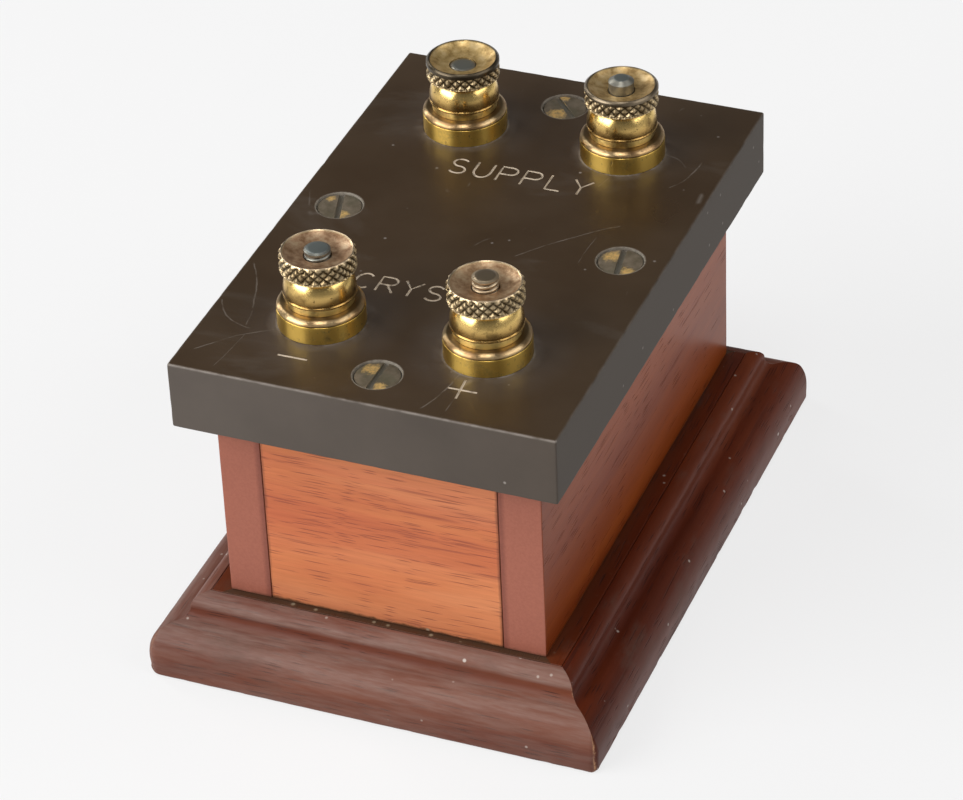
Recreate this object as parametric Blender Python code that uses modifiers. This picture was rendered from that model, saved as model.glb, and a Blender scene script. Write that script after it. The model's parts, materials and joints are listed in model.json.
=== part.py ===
"""Terminal box for a crystal detector: an ebonite panel with four binding posts on a small mahogany case.

Metres, +Z up. X runs along the short side, Y from front to back. The origin is on the ground under the
middle of the base.
"""

import math

import bmesh
import bpy
from mathutils import Matrix, Vector

# Driving dimensions
GAP = 0.0003
BASE_X, BASE_Y, BASE_HEIGHT = 0.0770, 0.1068, 0.0130
MOULDING_WIDTH = 0.0087
CASE_X, CASE_Y, CASE_HEIGHT = 0.0538, 0.0872, 0.0345
SIDE_WALL, END_WALL = 0.00715, 0.0070
PANEL_X, PANEL_Y, PANEL_THICK, PANEL_EDGE = 0.0635, 0.0978, 0.01175, 0.0003

CASE_TOP = BASE_HEIGHT + CASE_HEIGHT
PANEL_TOP = CASE_TOP + PANEL_THICK

# Binding posts: side and place on the panel, with how far each stud stands above the panel
POST_X, POST_Y_FRONT, POST_Y_REAR = 0.0138, -0.0304, 0.0297
POSTS = {
    "front_left": (-POST_X, POST_Y_FRONT, 0.0134),
    "front_right": (POST_X, POST_Y_FRONT, 0.0141),
    "rear_left": (-POST_X, POST_Y_REAR, 0.0117),
    "rear_right": (POST_X, POST_Y_REAR, 0.0143),
}
STUD_RADIUS, STUD_CLEARANCE = 0.00208, 0.00017
BORE_RADIUS = STUD_RADIUS + STUD_CLEARANCE
COLLAR_RADIUS, COLLAR_HEIGHT = 0.00695, 0.0041
CLAMP_RADIUS, CLAMP_THICK = 0.0054, 0.0007
NUT_BELL_RADIUS, NUT_HEAD_RADIUS = 0.0058, 0.00605
NUT_BOTTOM, NUT_TOP = 0.0054, 0.0131
WASHER_RADIUS, WASHER_THICK = 0.0045, 0.0008
LUG_RADIUS, LUG_THICK, LUG_TAIL, LUG_TAIL_WIDTH = 0.0038, 0.0005, 0.0085, 0.0026
HEX_RADIUS, HEX_THICK = 0.0046, 0.0030
STUD_END = 0.0012

# Wood screws
SCREW_HEAD_RADIUS, SCREW_SHANK_RADIUS, SCREW_SLOT, SCREW_SLOT_DEPTH = 0.0036, 0.0013, 0.0009, 0.0008
PANEL_SCREW_LENGTH, BASE_SCREW_LENGTH = 0.0240, 0.0220
SCREW_CLEARANCE = 0.0002
PANEL_SCREWS = {
    "front": (0.0, -0.0413),
    "back": (-0.0002, 0.0403),
    "left": (-0.0241, 0.0006),
    "right": (0.0243, -0.0004),
}
BASE_SCREW_X, BASE_SCREW_Y, BASE_SCREW_RECESS = 0.0233, 0.0280, 0.0004

# Parts inside the case
SPOOL_Y, SPOOL_RADIUS, SPOOL_CORE_RADIUS, SPOOL_HEIGHT, SPOOL_FLANGE = 0.0060, 0.0100, 0.0045, 0.0240, 0.0020
WINDING_RADIUS = 0.0088
SPOOL_SCREW_RADIUS, SPOOL_SCREW_HEAD, SPOOL_SCREW_DEPTH = 0.0016, 0.0032, 0.0085
CONDENSER_Y = -0.0200
STACK_X, STACK_Y, STACK_Z = 0.0180, 0.0120, 0.0040
BAR_X, BAR_Y, BAR_Z = 0.0270, 0.0070, 0.0010
CONDENSER_SCREW_X, CONDENSER_SCREW_RADIUS, CONDENSER_SCREW_HEAD = 0.0113, 0.0010, 0.0020
CONDENSER_SCREW_DEPTH = 0.0070
WIRE_RADIUS = 0.0005

FINE, PLAIN, COARSE = 24, 16, 12  # sides of a turned piece
MERGE = 0.00001


def clear_scene():
    for obj in list(bpy.data.objects):
        bpy.data.objects.remove(obj)


def new_collection(name):
    collection = bpy.data.collections.new(name)
    bpy.context.scene.collection.children.link(collection)
    return collection


def new_material(name, colour, roughness, metallic=0.0):
    material = bpy.data.materials.new(name)
    material.use_nodes = True
    shader = material.node_tree.nodes["Principled BSDF"]
    shader.inputs["Base Color"].default_value = (*colour, 1.0)
    shader.inputs["Roughness"].default_value = roughness
    shader.inputs["Metallic"].default_value = metallic
    return material


clear_scene()
PARTS = new_collection("crystal_terminal_box")
CUTTERS = new_collection("cutters")

EBONITE = new_material("ebonite", (0.051, 0.034, 0.021), 0.35)
MAHOGANY_FRONT = new_material("mahogany_front", (0.610, 0.235, 0.092), 0.35)
MAHOGANY_SIDE = new_material("mahogany_side", (0.216, 0.070, 0.045), 0.25)
MAHOGANY_BASE = new_material("mahogany_base", (0.155, 0.052, 0.036), 0.35)
BRASS = new_material("brass", (0.520, 0.330, 0.085), 0.28, 1.0)
DULL_BRASS = new_material("dull_brass", (0.300, 0.230, 0.110), 0.5, 1.0)
COPPER = new_material("tinned_copper", (0.560, 0.360, 0.240), 0.4, 1.0)
COTTON = new_material("cotton_covering", (0.180, 0.220, 0.120), 0.85)
FIBRE = new_material("red_fibre", (0.280, 0.060, 0.035), 0.6)
MICA = new_material("waxed_mica", (0.420, 0.330, 0.190), 0.45)


def new_empty(name, location):
    empty = bpy.data.objects.new(name, None)
    empty.location = location
    empty.empty_display_size = 0.01
    PARTS.objects.link(empty)
    return empty


def link(name, data, material, parent=None, location=(0.0, 0.0, 0.0)):
    obj = bpy.data.objects.new(name, data)
    obj.location = location
    obj.parent = parent
    if material is not None:
        data.materials.append(material)
        PARTS.objects.link(obj)
    else:
        CUTTERS.objects.link(obj)
        obj.hide_render = True
        obj.display_type = "WIRE"
    return obj


def box(name, low, high, material, parent=None, edge=0.0):
    """A box between two corners, with its origin in its middle. Without a material it is a cutter."""
    low, high = Vector(low), Vector(high)
    mesh = bpy.data.meshes.new(name)
    shape = bmesh.new()
    bmesh.ops.create_cube(shape, size=1.0, matrix=Matrix.Diagonal((*(high - low), 1.0)))
    shape.to_mesh(mesh)
    shape.free()
    obj = link(name, mesh, material, parent, (low + high) / 2)
    if edge:
        rounded = obj.modifiers.new("edges", "BEVEL")
        rounded.width = edge
        rounded.segments = 1
    return obj


def turned(name, profile, material, sides, parent=None, location=(0.0, 0.0, 0.0), closed=False):
    """A piece turned about Z. The profile (radius, height) runs down its outer side, and back up a bore."""
    mesh = bpy.data.meshes.new(name)
    shape = bmesh.new()
    points = [shape.verts.new((radius, 0.0, height)) for radius, height in profile]
    for start, end in zip(points, points[1:] + points[:1] if closed else points[1:]):
        shape.edges.new((start, end))
    shape.to_mesh(mesh)
    shape.free()
    obj = link(name, mesh, material, parent, location)
    screw = obj.modifiers.new("turn", "SCREW")
    screw.steps = screw.render_steps = sides
    screw.use_merge_vertices = True
    screw.merge_threshold = MERGE
    screw.use_smooth_shade = True
    return obj


def cut(obj, *cutters):
    for cutter in cutters:
        boolean = obj.modifiers.new("cut_" + cutter.name, "BOOLEAN")
        boolean.operation = "DIFFERENCE"
        boolean.object = cutter


def hole(name, location, radius, low, high, sides=PLAIN):
    """A cutter for a round hole, from low to high above its location."""
    return turned(name, [(0.0, high), (radius, high), (radius, low), (0.0, low)], None, sides, None, location)


def quarter(start, end, flat_first, steps):
    """Points of a quarter ellipse: level at its start and steep at its end, or the other way round."""
    points = []
    for step in range(steps + 1):
        turn = math.radians(90.0) * step / steps
        near, far = math.sin(turn), math.cos(turn)
        if flat_first:
            points.append((start[0] + (end[0] - start[0]) * near, end[1] + (start[1] - end[1]) * far))
        else:
            points.append((end[0] + (start[0] - end[0]) * far, start[1] + (end[1] - start[1]) * near))
    return points


# Base: a board with a mitred moulding round it

MOULDING_STEPS = 4
MITRE_GAP = GAP / math.sqrt(2.0)
BEAD_END = (0.0027, 0.0110)
COVE_END = (0.0043, 0.0090)
OVOLO_END = (MOULDING_WIDTH, 0.0034)
FOOT_ROUND = 0.0008


def moulding_profile():
    """(distance out from the board's edge, height), from the foot of the inner face round to its top."""
    points = [(0.0, 0.0), (MOULDING_WIDTH - FOOT_ROUND, 0.0), (MOULDING_WIDTH, FOOT_ROUND)]
    points += quarter(COVE_END, OVOLO_END, True, MOULDING_STEPS)[::-1]
    points += quarter(BEAD_END, COVE_END, False, MOULDING_STEPS)[-2:0:-1]
    points += quarter((0.0, BASE_HEIGHT), BEAD_END, True, MOULDING_STEPS)[::-1]
    return points


def moulding(name, half_length, reach, turn):
    """One side of the moulding, mitred at both ends. Its back stands at reach from the middle, along -Y."""
    mesh = bpy.data.meshes.new(name)
    shape = bmesh.new()
    section = [shape.verts.new((-half_length, -reach - out, height)) for out, height in moulding_profile()]
    swept = bmesh.ops.extrude_face_region(shape, geom=[shape.faces.new(section)])
    moved = [item for item in swept["geom"] if isinstance(item, bmesh.types.BMVert)]
    bmesh.ops.translate(shape, verts=moved, vec=(2 * half_length, 0.0, 0.0))
    for side in (-1.0, 1.0):
        corner = Vector((side * (half_length - MITRE_GAP), -reach - MOULDING_WIDTH, 0.0))
        parted = bmesh.ops.bisect_plane(
            shape,
            geom=shape.verts[:] + shape.edges[:] + shape.faces[:],
            dist=1e-7,
            plane_co=corner,
            plane_no=Vector((side, 1.0, 0.0)).normalized(),
            clear_outer=True,
        )
        rim = [item for item in parted["geom_cut"] if isinstance(item, bmesh.types.BMEdge)]
        bmesh.ops.holes_fill(shape, edges=rim)
    bmesh.ops.recalc_face_normals(shape, faces=shape.faces[:])
    shape.to_mesh(mesh)
    shape.free()
    obj = link(name, mesh, MAHOGANY_BASE, CASE)
    obj.rotation_euler = (0.0, 0.0, math.radians(turn))


CASE = new_empty("case", (0.0, 0.0, 0.0))
HALF_X, HALF_Y = BASE_X / 2, BASE_Y / 2
moulding("base_moulding_front", HALF_X, HALF_Y - MOULDING_WIDTH, 0)
moulding("base_moulding_right", HALF_Y, HALF_X - MOULDING_WIDTH, 90)
moulding("base_moulding_back", HALF_X, HALF_Y - MOULDING_WIDTH, 180)
moulding("base_moulding_left", HALF_Y, HALF_X - MOULDING_WIDTH, 270)


# Case: a base board, four walls and the panel

BOARD_X = HALF_X - MOULDING_WIDTH - GAP
BOARD_Y = HALF_Y - MOULDING_WIDTH - GAP
WALL_X, WALL_Y = CASE_X / 2, CASE_Y / 2
WALL_FOOT, WALL_HEAD = BASE_HEIGHT + GAP, CASE_TOP - GAP
END_X = WALL_X - SIDE_WALL - GAP

BOARD_CORNER = Vector((BOARD_X, BOARD_Y, 0.0))
BOARD_TOP = Vector((0.0, 0.0, BASE_HEIGHT))
base_board = box("base_board", -BOARD_CORNER, BOARD_CORNER + BOARD_TOP, MAHOGANY_BASE, CASE)


def wall(name, low_x, low_y, high_x, high_y, material):
    return box(name, (low_x, low_y, WALL_FOOT), (high_x, high_y, WALL_HEAD), material, CASE)


walls = {
    "left": wall("left_wall", -WALL_X, -WALL_Y, SIDE_WALL - WALL_X, WALL_Y, MAHOGANY_SIDE),
    "right": wall("right_wall", WALL_X - SIDE_WALL, -WALL_Y, WALL_X, WALL_Y, MAHOGANY_SIDE),
    "front": wall("front_wall", -END_X, -WALL_Y, END_X, END_WALL - WALL_Y, MAHOGANY_FRONT),
    "back": wall("back_wall", -END_X, WALL_Y - END_WALL, END_X, WALL_Y, MAHOGANY_FRONT),
}
PANEL_CORNER = Vector((PANEL_X / 2, PANEL_Y / 2, 0.0))
panel = box(
    "panel",
    -PANEL_CORNER + Vector((0.0, 0.0, CASE_TOP)),
    PANEL_CORNER + Vector((0.0, 0.0, PANEL_TOP)),
    EBONITE,
    CASE,
    edge=PANEL_EDGE,
)


# Wood screws

UP, DOWN = 0.0, math.pi  # the way that a screw's head faces


def slot_cutter(name, location, depth, width, reach, angle):
    """A cutter for a screwdriver slot across a head of radius reach, turned about Z."""
    slot = box(name, (-reach, -width / 2, -depth), (reach, width / 2, depth), None)
    slot.location = location
    slot.rotation_euler = (0.0, 0.0, math.radians(angle))
    return slot


def countersunk_screw(name, location, length, facing, angle):
    """A slotted flat-head wood screw. The middle of its head's face is at its location."""
    rim = 0.0002
    shank_top = -rim - SCREW_HEAD_RADIUS + SCREW_SHANK_RADIUS
    profile = [
        (0.0, 0.0),
        (SCREW_HEAD_RADIUS, 0.0),
        (SCREW_HEAD_RADIUS, -rim),
        (SCREW_SHANK_RADIUS, shank_top),
        (SCREW_SHANK_RADIUS, -length + 2 * SCREW_SHANK_RADIUS),
        (0.0, -length),
    ]
    screw = turned(name, profile, BRASS, PLAIN, CASE, location)
    screw.rotation_euler = (facing, 0.0, 0.0)
    reach = SCREW_HEAD_RADIUS * 2
    cut(screw, slot_cutter(name + "_slot", location, SCREW_SLOT_DEPTH, SCREW_SLOT, reach, angle))


def screw_hole(name, location, length, facing):
    """A cutter for the hole that a countersunk screw stands in, open past the head."""
    head = SCREW_HEAD_RADIUS + SCREW_CLEARANCE
    shank = SCREW_SHANK_RADIUS + SCREW_CLEARANCE
    past, rim = 0.0020, 0.0004
    foot = -length - GAP
    cone_end = shank - head - rim
    profile = [(0.0, past), (head, past), (head, -rim), (shank, cone_end), (shank, foot), (0.0, foot)]
    cutter = turned(name + "_hole", profile, None, PLAIN, None, location)
    cutter.rotation_euler = (facing, 0.0, 0.0)
    return cutter


def fasten(name, location, length, facing, angle, *pieces):
    """A countersunk screw through all the pieces, with the hole that it needs in each."""
    countersunk_screw(name, location, length, facing, angle)
    cutter = screw_hole(name, location, length, facing)
    for piece in pieces:
        cut(piece, cutter)


SLOT_ANGLES = {"front": 89, "back": 132, "left": 106, "right": 99}
for side, (x, y) in PANEL_SCREWS.items():
    place = (x, y, PANEL_TOP)
    fasten("panel_screw_" + side, place, PANEL_SCREW_LENGTH, UP, SLOT_ANGLES[side], panel, walls[side])

for side, x in (("left", -BASE_SCREW_X), ("right", BASE_SCREW_X)):
    for end, y in (("front", -BASE_SCREW_Y), ("rear", BASE_SCREW_Y)):
        place = (x, y, BASE_SCREW_RECESS)
        name = f"base_screw_{end}_{side}"
        fasten(name, place, BASE_SCREW_LENGTH, DOWN, 30, base_board, walls[side])


# Binding posts


def ring(name, outer, low, high, material, sides, parent, bore=BORE_RADIUS):
    profile = [(outer, high), (outer, low), (bore, low), (bore, high)]
    return turned(name, profile, material, sides, parent, closed=True)


def nut_profile():
    """(radius, height) of the thumb nut: a bell under a knurled head whose top is dished."""
    rim, dish, waist, waist_height = 0.0054, 0.0010, 0.0036, 0.0097
    head_foot = 0.0100
    bell = quarter((NUT_BELL_RADIUS, NUT_BOTTOM + 0.0007), (waist, waist_height), False, 4)
    profile = [
        (rim, NUT_TOP),
        (NUT_HEAD_RADIUS - 0.0002, NUT_TOP),
        (NUT_HEAD_RADIUS, NUT_TOP - 0.0002),
        (NUT_HEAD_RADIUS, head_foot + 0.0002),
        (NUT_HEAD_RADIUS - 0.0002, head_foot),
    ]
    profile += bell[::-1]
    profile += [(NUT_BELL_RADIUS, NUT_BOTTOM), (BORE_RADIUS, NUT_BOTTOM), (BORE_RADIUS, NUT_TOP - dish)]
    return profile


def stud_profile(top, foot):
    tip = STUD_RADIUS - 0.0004
    return [(0.0, top), (tip, top), (STUD_RADIUS, top - 0.0004), (STUD_RADIUS, foot), (0.0, foot)]


def collar_profile():
    """(radius, height) of the post's base, a short drum with a chamfered shoulder."""
    shoulder = 0.0010
    return [
        (COLLAR_RADIUS - shoulder, COLLAR_HEIGHT),
        (COLLAR_RADIUS, COLLAR_HEIGHT - shoulder),
        (COLLAR_RADIUS, GAP),
        (BORE_RADIUS, GAP),
        (BORE_RADIUS, COLLAR_HEIGHT),
    ]


def solder_lug(name, height, parent, location, towards):
    """A flat ring with a tail along Y, as a filled outline with a hole."""
    curve = bpy.data.curves.new(name, "CURVE")
    curve.dimensions = "2D"
    curve.fill_mode = "BOTH"
    curve.extrude = LUG_THICK / 2
    half = LUG_TAIL_WIDTH / 2
    start = math.asin(half / LUG_RADIUS)
    outline = [(half, LUG_TAIL), (-half, LUG_TAIL)]
    for step in range(PLAIN + 1):
        turn = math.pi / 2 + start + step * (2 * math.pi - 2 * start) / PLAIN
        outline.append((LUG_RADIUS * math.cos(turn), LUG_RADIUS * math.sin(turn)))
    bore = []
    for step in range(PLAIN):
        turn = 2 * math.pi * step / PLAIN
        bore.append((BORE_RADIUS * math.cos(turn), BORE_RADIUS * math.sin(turn)))
    for points in (outline, bore):
        spline = curve.splines.new("POLY")
        spline.points.add(len(points) - 1)
        spline.use_cyclic_u = True
        for point, (x, y) in zip(spline.points, points):
            point.co = (x, y, 0.0, 1.0)
    obj = link(name, curve, COPPER, parent, (*location, height))
    obj.rotation_euler = (0.0, 0.0, 0.0 if towards > 0 else math.pi)


WASHER_TOP = -PANEL_THICK - GAP
LUG_TOP = WASHER_TOP - WASHER_THICK - GAP
HEX_TOP = LUG_TOP - LUG_THICK - GAP
STUD_FOOT = HEX_TOP - HEX_THICK - STUD_END
HEX_SIDES = 6

for place, (x, y, stud_top) in POSTS.items():
    post = new_empty("post_" + place, (x, y, PANEL_TOP))
    panel_hole = hole("post_hole_" + place, (x, y, PANEL_TOP), BORE_RADIUS, 2 * STUD_FOOT, PANEL_THICK)
    cut(panel, panel_hole)
    turned("post_base_" + place, collar_profile(), BRASS, FINE, post, closed=True)
    turned("stud_" + place, stud_profile(stud_top, STUD_FOOT), BRASS, PLAIN, post)
    washer_low = NUT_BOTTOM - GAP - CLAMP_THICK
    ring("clamp_washer_" + place, CLAMP_RADIUS, washer_low, NUT_BOTTOM - GAP, BRASS, FINE, post)
    turned("thumb_nut_" + place, nut_profile(), BRASS, FINE, post, closed=True)
    ring("panel_washer_" + place, WASHER_RADIUS, WASHER_TOP - WASHER_THICK, WASHER_TOP, BRASS, PLAIN, post)
    inwards = -1.0 if y > 0 else 1.0
    solder_lug("solder_lug_" + place, LUG_TOP - LUG_THICK / 2, post, (0.0, 0.0), inwards)
    hex_foot = HEX_TOP - HEX_THICK
    prism = [(0.0, HEX_TOP), (HEX_RADIUS, HEX_TOP), (HEX_RADIUS, hex_foot), (0.0, hex_foot)]
    cut(turned("hex_nut_" + place, prism, BRASS, HEX_SIDES, post), panel_hole)


# Parts inside the case: a wound spool and a small condenser on the base board, and the wires


def sunk_screw(name, x, y, top, radius, head, depth, slot_angle, *pieces):
    """A round-headed wood screw from above into the base board, through each of the pieces."""
    head_height = 0.7 * head
    foot = BASE_HEIGHT - depth - top
    profile = quarter((0.0, head_height), (head, 0.0), True, 4)
    profile += [(radius, 0.0), (radius, foot + radius), (0.0, foot)]
    screw = turned(name, profile, BRASS, PLAIN, CASE, (x, y, top))
    slot = (x, y, top + head_height)
    cut(screw, slot_cutter(name + "_slot", slot, head_height / 3, radius / 2, head * 2, slot_angle))
    cutter = hole(name + "_hole", (x, y, top), radius + SCREW_CLEARANCE, foot - GAP, PANEL_THICK)
    for piece in (base_board, *pieces):
        cut(piece, cutter)


SPOOL_FOOT = BASE_HEIGHT + GAP
SPOOL_TOP = SPOOL_FOOT + SPOOL_HEIGHT
spool_profile = [
    (0.0, SPOOL_HEIGHT),
    (SPOOL_RADIUS, SPOOL_HEIGHT),
    (SPOOL_RADIUS, SPOOL_HEIGHT - SPOOL_FLANGE),
    (SPOOL_CORE_RADIUS, SPOOL_HEIGHT - SPOOL_FLANGE),
    (SPOOL_CORE_RADIUS, SPOOL_FLANGE),
    (SPOOL_RADIUS, SPOOL_FLANGE),
    (SPOOL_RADIUS, 0.0),
    (0.0, 0.0),
]
spool = turned("choke_spool", spool_profile, FIBRE, FINE, CASE, (0.0, SPOOL_Y, SPOOL_FOOT))
sunk_screw(
    "choke_screw",
    0.0,
    SPOOL_Y,
    SPOOL_TOP + GAP,
    SPOOL_SCREW_RADIUS,
    SPOOL_SCREW_HEAD,
    SPOOL_SCREW_DEPTH,
    25,
    spool,
)
winding_low, winding_high = SPOOL_FLANGE + GAP, SPOOL_HEIGHT - SPOOL_FLANGE - GAP
winding = ring(
    "choke_winding", WINDING_RADIUS, winding_low, winding_high, COTTON, FINE, CASE, SPOOL_CORE_RADIUS + GAP
)
winding.location = spool.location


def slab(name, size_x, size_y, low, high, material):
    return box(
        name,
        (-size_x / 2, CONDENSER_Y - size_y / 2, low),
        (size_x / 2, CONDENSER_Y + size_y / 2, high),
        material,
        CASE,
    )


LOWER_BAR = BASE_HEIGHT + GAP
STACK_LOW = LOWER_BAR + BAR_Z + GAP
UPPER_BAR = STACK_LOW + STACK_Z + GAP
BAR_TOP = UPPER_BAR + BAR_Z
lower_bar = slab("condenser_lower_bar", BAR_X, BAR_Y, LOWER_BAR, LOWER_BAR + BAR_Z, BRASS)
slab("condenser_stack", STACK_X, STACK_Y, STACK_LOW, STACK_LOW + STACK_Z, MICA)
upper_bar = slab("condenser_upper_bar", BAR_X, BAR_Y, UPPER_BAR, BAR_TOP, BRASS)
for side, x in (("left", -CONDENSER_SCREW_X), ("right", CONDENSER_SCREW_X)):
    sunk_screw(
        "condenser_screw_" + side,
        x,
        CONDENSER_Y,
        BAR_TOP + GAP,
        CONDENSER_SCREW_RADIUS,
        CONDENSER_SCREW_HEAD,
        CONDENSER_SCREW_DEPTH,
        70,
        lower_bar,
        upper_bar,
    )


def smooth_route(points, per_span=4):
    """A Catmull-Rom curve through the points, with its ends in line with the first and last spans."""
    points = [Vector(point) for point in points]
    padded = [2 * points[0] - points[1], *points, 2 * points[-1] - points[-2]]
    route = []
    for a, b, c, d in zip(padded, padded[1:], padded[2:], padded[3:]):
        for step in range(per_span):
            t = step / per_span
            bend = (2 * a - 5 * b + 4 * c - d) * t * t + (3 * b - a - 3 * c + d) * t**3
            route.append((2 * b + (c - a) * t + bend) / 2)
    return [*route, points[-1]]


def wire(name, points):
    curve = bpy.data.curves.new(name, "CURVE")
    curve.dimensions = "3D"
    curve.bevel_depth = WIRE_RADIUS
    curve.bevel_resolution = 1
    curve.use_fill_caps = True
    route = smooth_route(points)
    spline = curve.splines.new("POLY")
    spline.points.add(len(route) - 1)
    for point, place in zip(spline.points, route):
        point.co = (*place, 1.0)
    link(name, curve, COPPER, CASE)


# Each wire starts under a lug's tail, runs clear of the other parts and ends at a terminal of the next one.
LUG_UNDER = PANEL_TOP + LUG_TOP - LUG_THICK - GAP - WIRE_RADIUS
TAIL_FRONT = POST_Y_FRONT + LUG_TAIL
TAIL_REAR = POST_Y_REAR - LUG_TAIL
WINDING_SIDE = -WINDING_RADIUS - GAP - WIRE_RADIUS
STACK_MIDDLE = STACK_LOW + STACK_Z / 2
STACK_END = STACK_X / 2 + GAP
wire(
    "wire_rear_left_to_choke",
    [
        (-POST_X, TAIL_REAR + 0.0020, LUG_UNDER),
        (-POST_X, TAIL_REAR - 0.0020, LUG_UNDER - 0.0010),
        (-0.0130, 0.0140, 0.0380),
        (-0.0122, 0.0100, 0.0320),
        (-0.0106, SPOOL_Y + 0.0015, 0.0290),
        (WINDING_SIDE, SPOOL_Y - 0.0020, 0.0280),
    ],
)
wire(
    "wire_choke_to_front_left",
    [
        (WINDING_SIDE, SPOOL_Y + 0.0020, 0.0200),
        (-0.0104, SPOOL_Y - 0.0015, 0.0205),
        (-0.0128, -0.0030, 0.0240),
        (-0.0145, -0.0110, 0.0350),
        (-0.0143, TAIL_FRONT + 0.0015, LUG_UNDER - 0.0010),
        (-0.0143, TAIL_FRONT - 0.0020, LUG_UNDER),
    ],
)
wire(
    "wire_rear_right_to_front_right",
    [
        (0.0143, TAIL_REAR + 0.0020, LUG_UNDER),
        (0.0143, TAIL_REAR - 0.0020, LUG_UNDER - 0.0004),
        (0.0150, 0.0100, LUG_UNDER - 0.0026),
        (0.0150, -0.0060, LUG_UNDER - 0.0030),
        (0.0143, TAIL_FRONT + 0.0020, LUG_UNDER - 0.0004),
        (0.0143, TAIL_FRONT - 0.0020, LUG_UNDER),
    ],
)
for side, way in (("left", -1.0), ("right", 1.0)):
    wire(
        f"wire_condenser_to_front_{side}",
        [
            (way * STACK_END, CONDENSER_Y - 0.0048, STACK_MIDDLE),
            (way * (STACK_END + 0.0020), CONDENSER_Y - 0.0048, STACK_MIDDLE + 0.0006),
            (way * 0.0135, CONDENSER_Y - 0.0045, STACK_MIDDLE + 0.0040),
            (way * 0.0140, CONDENSER_Y - 0.0020, 0.0280),
            (way * 0.0128, TAIL_FRONT + 0.0028, LUG_UNDER - 0.0050),
            (way * 0.0126, TAIL_FRONT + 0.0014, LUG_UNDER - 0.0010),
            (way * 0.0126, TAIL_FRONT - 0.0020, LUG_UNDER),
        ],
    )
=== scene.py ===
"""Looks of the crystal detector's terminal box: ebonite panel, brass binding posts and a mahogany case."""

import json
import math
from functools import partial, reduce

import bmesh
import bpy
import numpy as np
from mathutils import Matrix, Quaternion, Vector, noise

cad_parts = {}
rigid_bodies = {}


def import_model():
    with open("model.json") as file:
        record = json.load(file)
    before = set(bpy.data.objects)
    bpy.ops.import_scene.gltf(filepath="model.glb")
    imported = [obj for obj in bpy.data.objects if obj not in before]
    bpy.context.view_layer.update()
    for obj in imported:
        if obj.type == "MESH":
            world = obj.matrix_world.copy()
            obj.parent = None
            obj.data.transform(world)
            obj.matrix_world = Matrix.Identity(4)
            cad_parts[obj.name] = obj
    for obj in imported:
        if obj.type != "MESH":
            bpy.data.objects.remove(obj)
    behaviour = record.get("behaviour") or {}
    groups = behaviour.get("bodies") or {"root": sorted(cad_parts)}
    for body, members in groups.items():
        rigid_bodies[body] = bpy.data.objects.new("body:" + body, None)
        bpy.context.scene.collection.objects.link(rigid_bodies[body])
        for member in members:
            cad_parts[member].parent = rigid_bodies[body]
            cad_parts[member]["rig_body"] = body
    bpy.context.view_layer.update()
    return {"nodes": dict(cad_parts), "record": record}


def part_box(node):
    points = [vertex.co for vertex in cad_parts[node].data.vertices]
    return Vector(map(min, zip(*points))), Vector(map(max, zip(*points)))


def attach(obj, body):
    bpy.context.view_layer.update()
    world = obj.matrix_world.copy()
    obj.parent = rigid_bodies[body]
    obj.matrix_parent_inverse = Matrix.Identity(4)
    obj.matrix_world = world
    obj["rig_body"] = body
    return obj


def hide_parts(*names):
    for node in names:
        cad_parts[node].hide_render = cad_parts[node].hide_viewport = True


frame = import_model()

MM = 0.001
TAU = 2 * math.pi
ORIGIN = (0.0, 0.0, 0.0)

# Sizes and places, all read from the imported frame
PANEL_LOW, PANEL_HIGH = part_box("panel")
PANEL_TOP = PANEL_HIGH.z
BOARD_LOW, BOARD_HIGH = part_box("base_board")
BASE_HALF_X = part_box("base_moulding_right")[1].x
BASE_HALF_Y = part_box("base_moulding_back")[1].y
BASE_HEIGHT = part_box("base_moulding_front")[1].z
CASE_HALF_X, CASE_HALF_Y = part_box("right_wall")[1].xy
JOINT_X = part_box("right_wall")[0].x  # where the front wall meets the side walls
PLACES = ("front_left", "front_right", "rear_left", "rear_right")
SIDES = ("front", "back", "left", "right")

# Seeds move the patterns of the pieces, so that repeats differ: a kind's first seed, and the step to its next
SEEDS = {
    "base_board": (31.0, 0.0),
    "moulding": (0.0, 7.0),
    "wall": (0.0, 11.0),
    "panel": (3.0, 0.0),
    "post_base": (5.0, 3.0),
    "clamp_washer": (6.0, 3.0),
    "thumb_nut": (9.0, 5.0),
    "stud": (2.0, 1.0),
}
SEED_STEP = 10 * MM  # how far the patterns of two pieces lie apart for each unit of their seeds


def seed_of(kind, index=0):
    first, step = SEEDS[kind]
    return first + step * index


# Camera and light


def place_camera():
    """The camera stands in front and to the right, looks down on the box, and leans a little to one side."""
    place = Vector((213.1, -503.75, 415.2)) * MM
    aim = Vector((0.0, 0.0, 37.05)) * MM
    pitch, yaw, roll = 0.01275, -0.00054, 0.04491
    data = bpy.data.cameras.new("camera")
    data.sensor_width = 36.0
    data.lens = 153.4
    camera = bpy.data.objects.new("camera", data)
    bpy.context.scene.collection.objects.link(camera)
    turn = Vector((pitch, yaw, roll))
    lean = Quaternion(turn.normalized(), -turn.length)
    camera.matrix_world = Matrix.LocRotScale(place, (aim - place).to_track_quat("-Z", "Y") @ lean, None)
    bpy.context.scene.camera = camera


def area_light(name, azimuth, elevation, distance, width, height, power):
    """A softbox that faces the box. Its azimuth is measured from the front towards the right."""
    data = bpy.data.lights.new(name, "AREA")
    data.shape = "RECTANGLE"
    data.size, data.size_y = width, height
    data.energy = power
    light = bpy.data.objects.new(name, data)
    bpy.context.scene.collection.objects.link(light)
    around, up = math.radians(azimuth), math.radians(elevation)
    way = Vector((math.sin(around) * math.cos(up), -math.cos(around) * math.cos(up), math.sin(up)))
    light.matrix_world = Matrix.LocRotScale(way * distance, way.to_track_quat("Z", "Y"), None)


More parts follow.
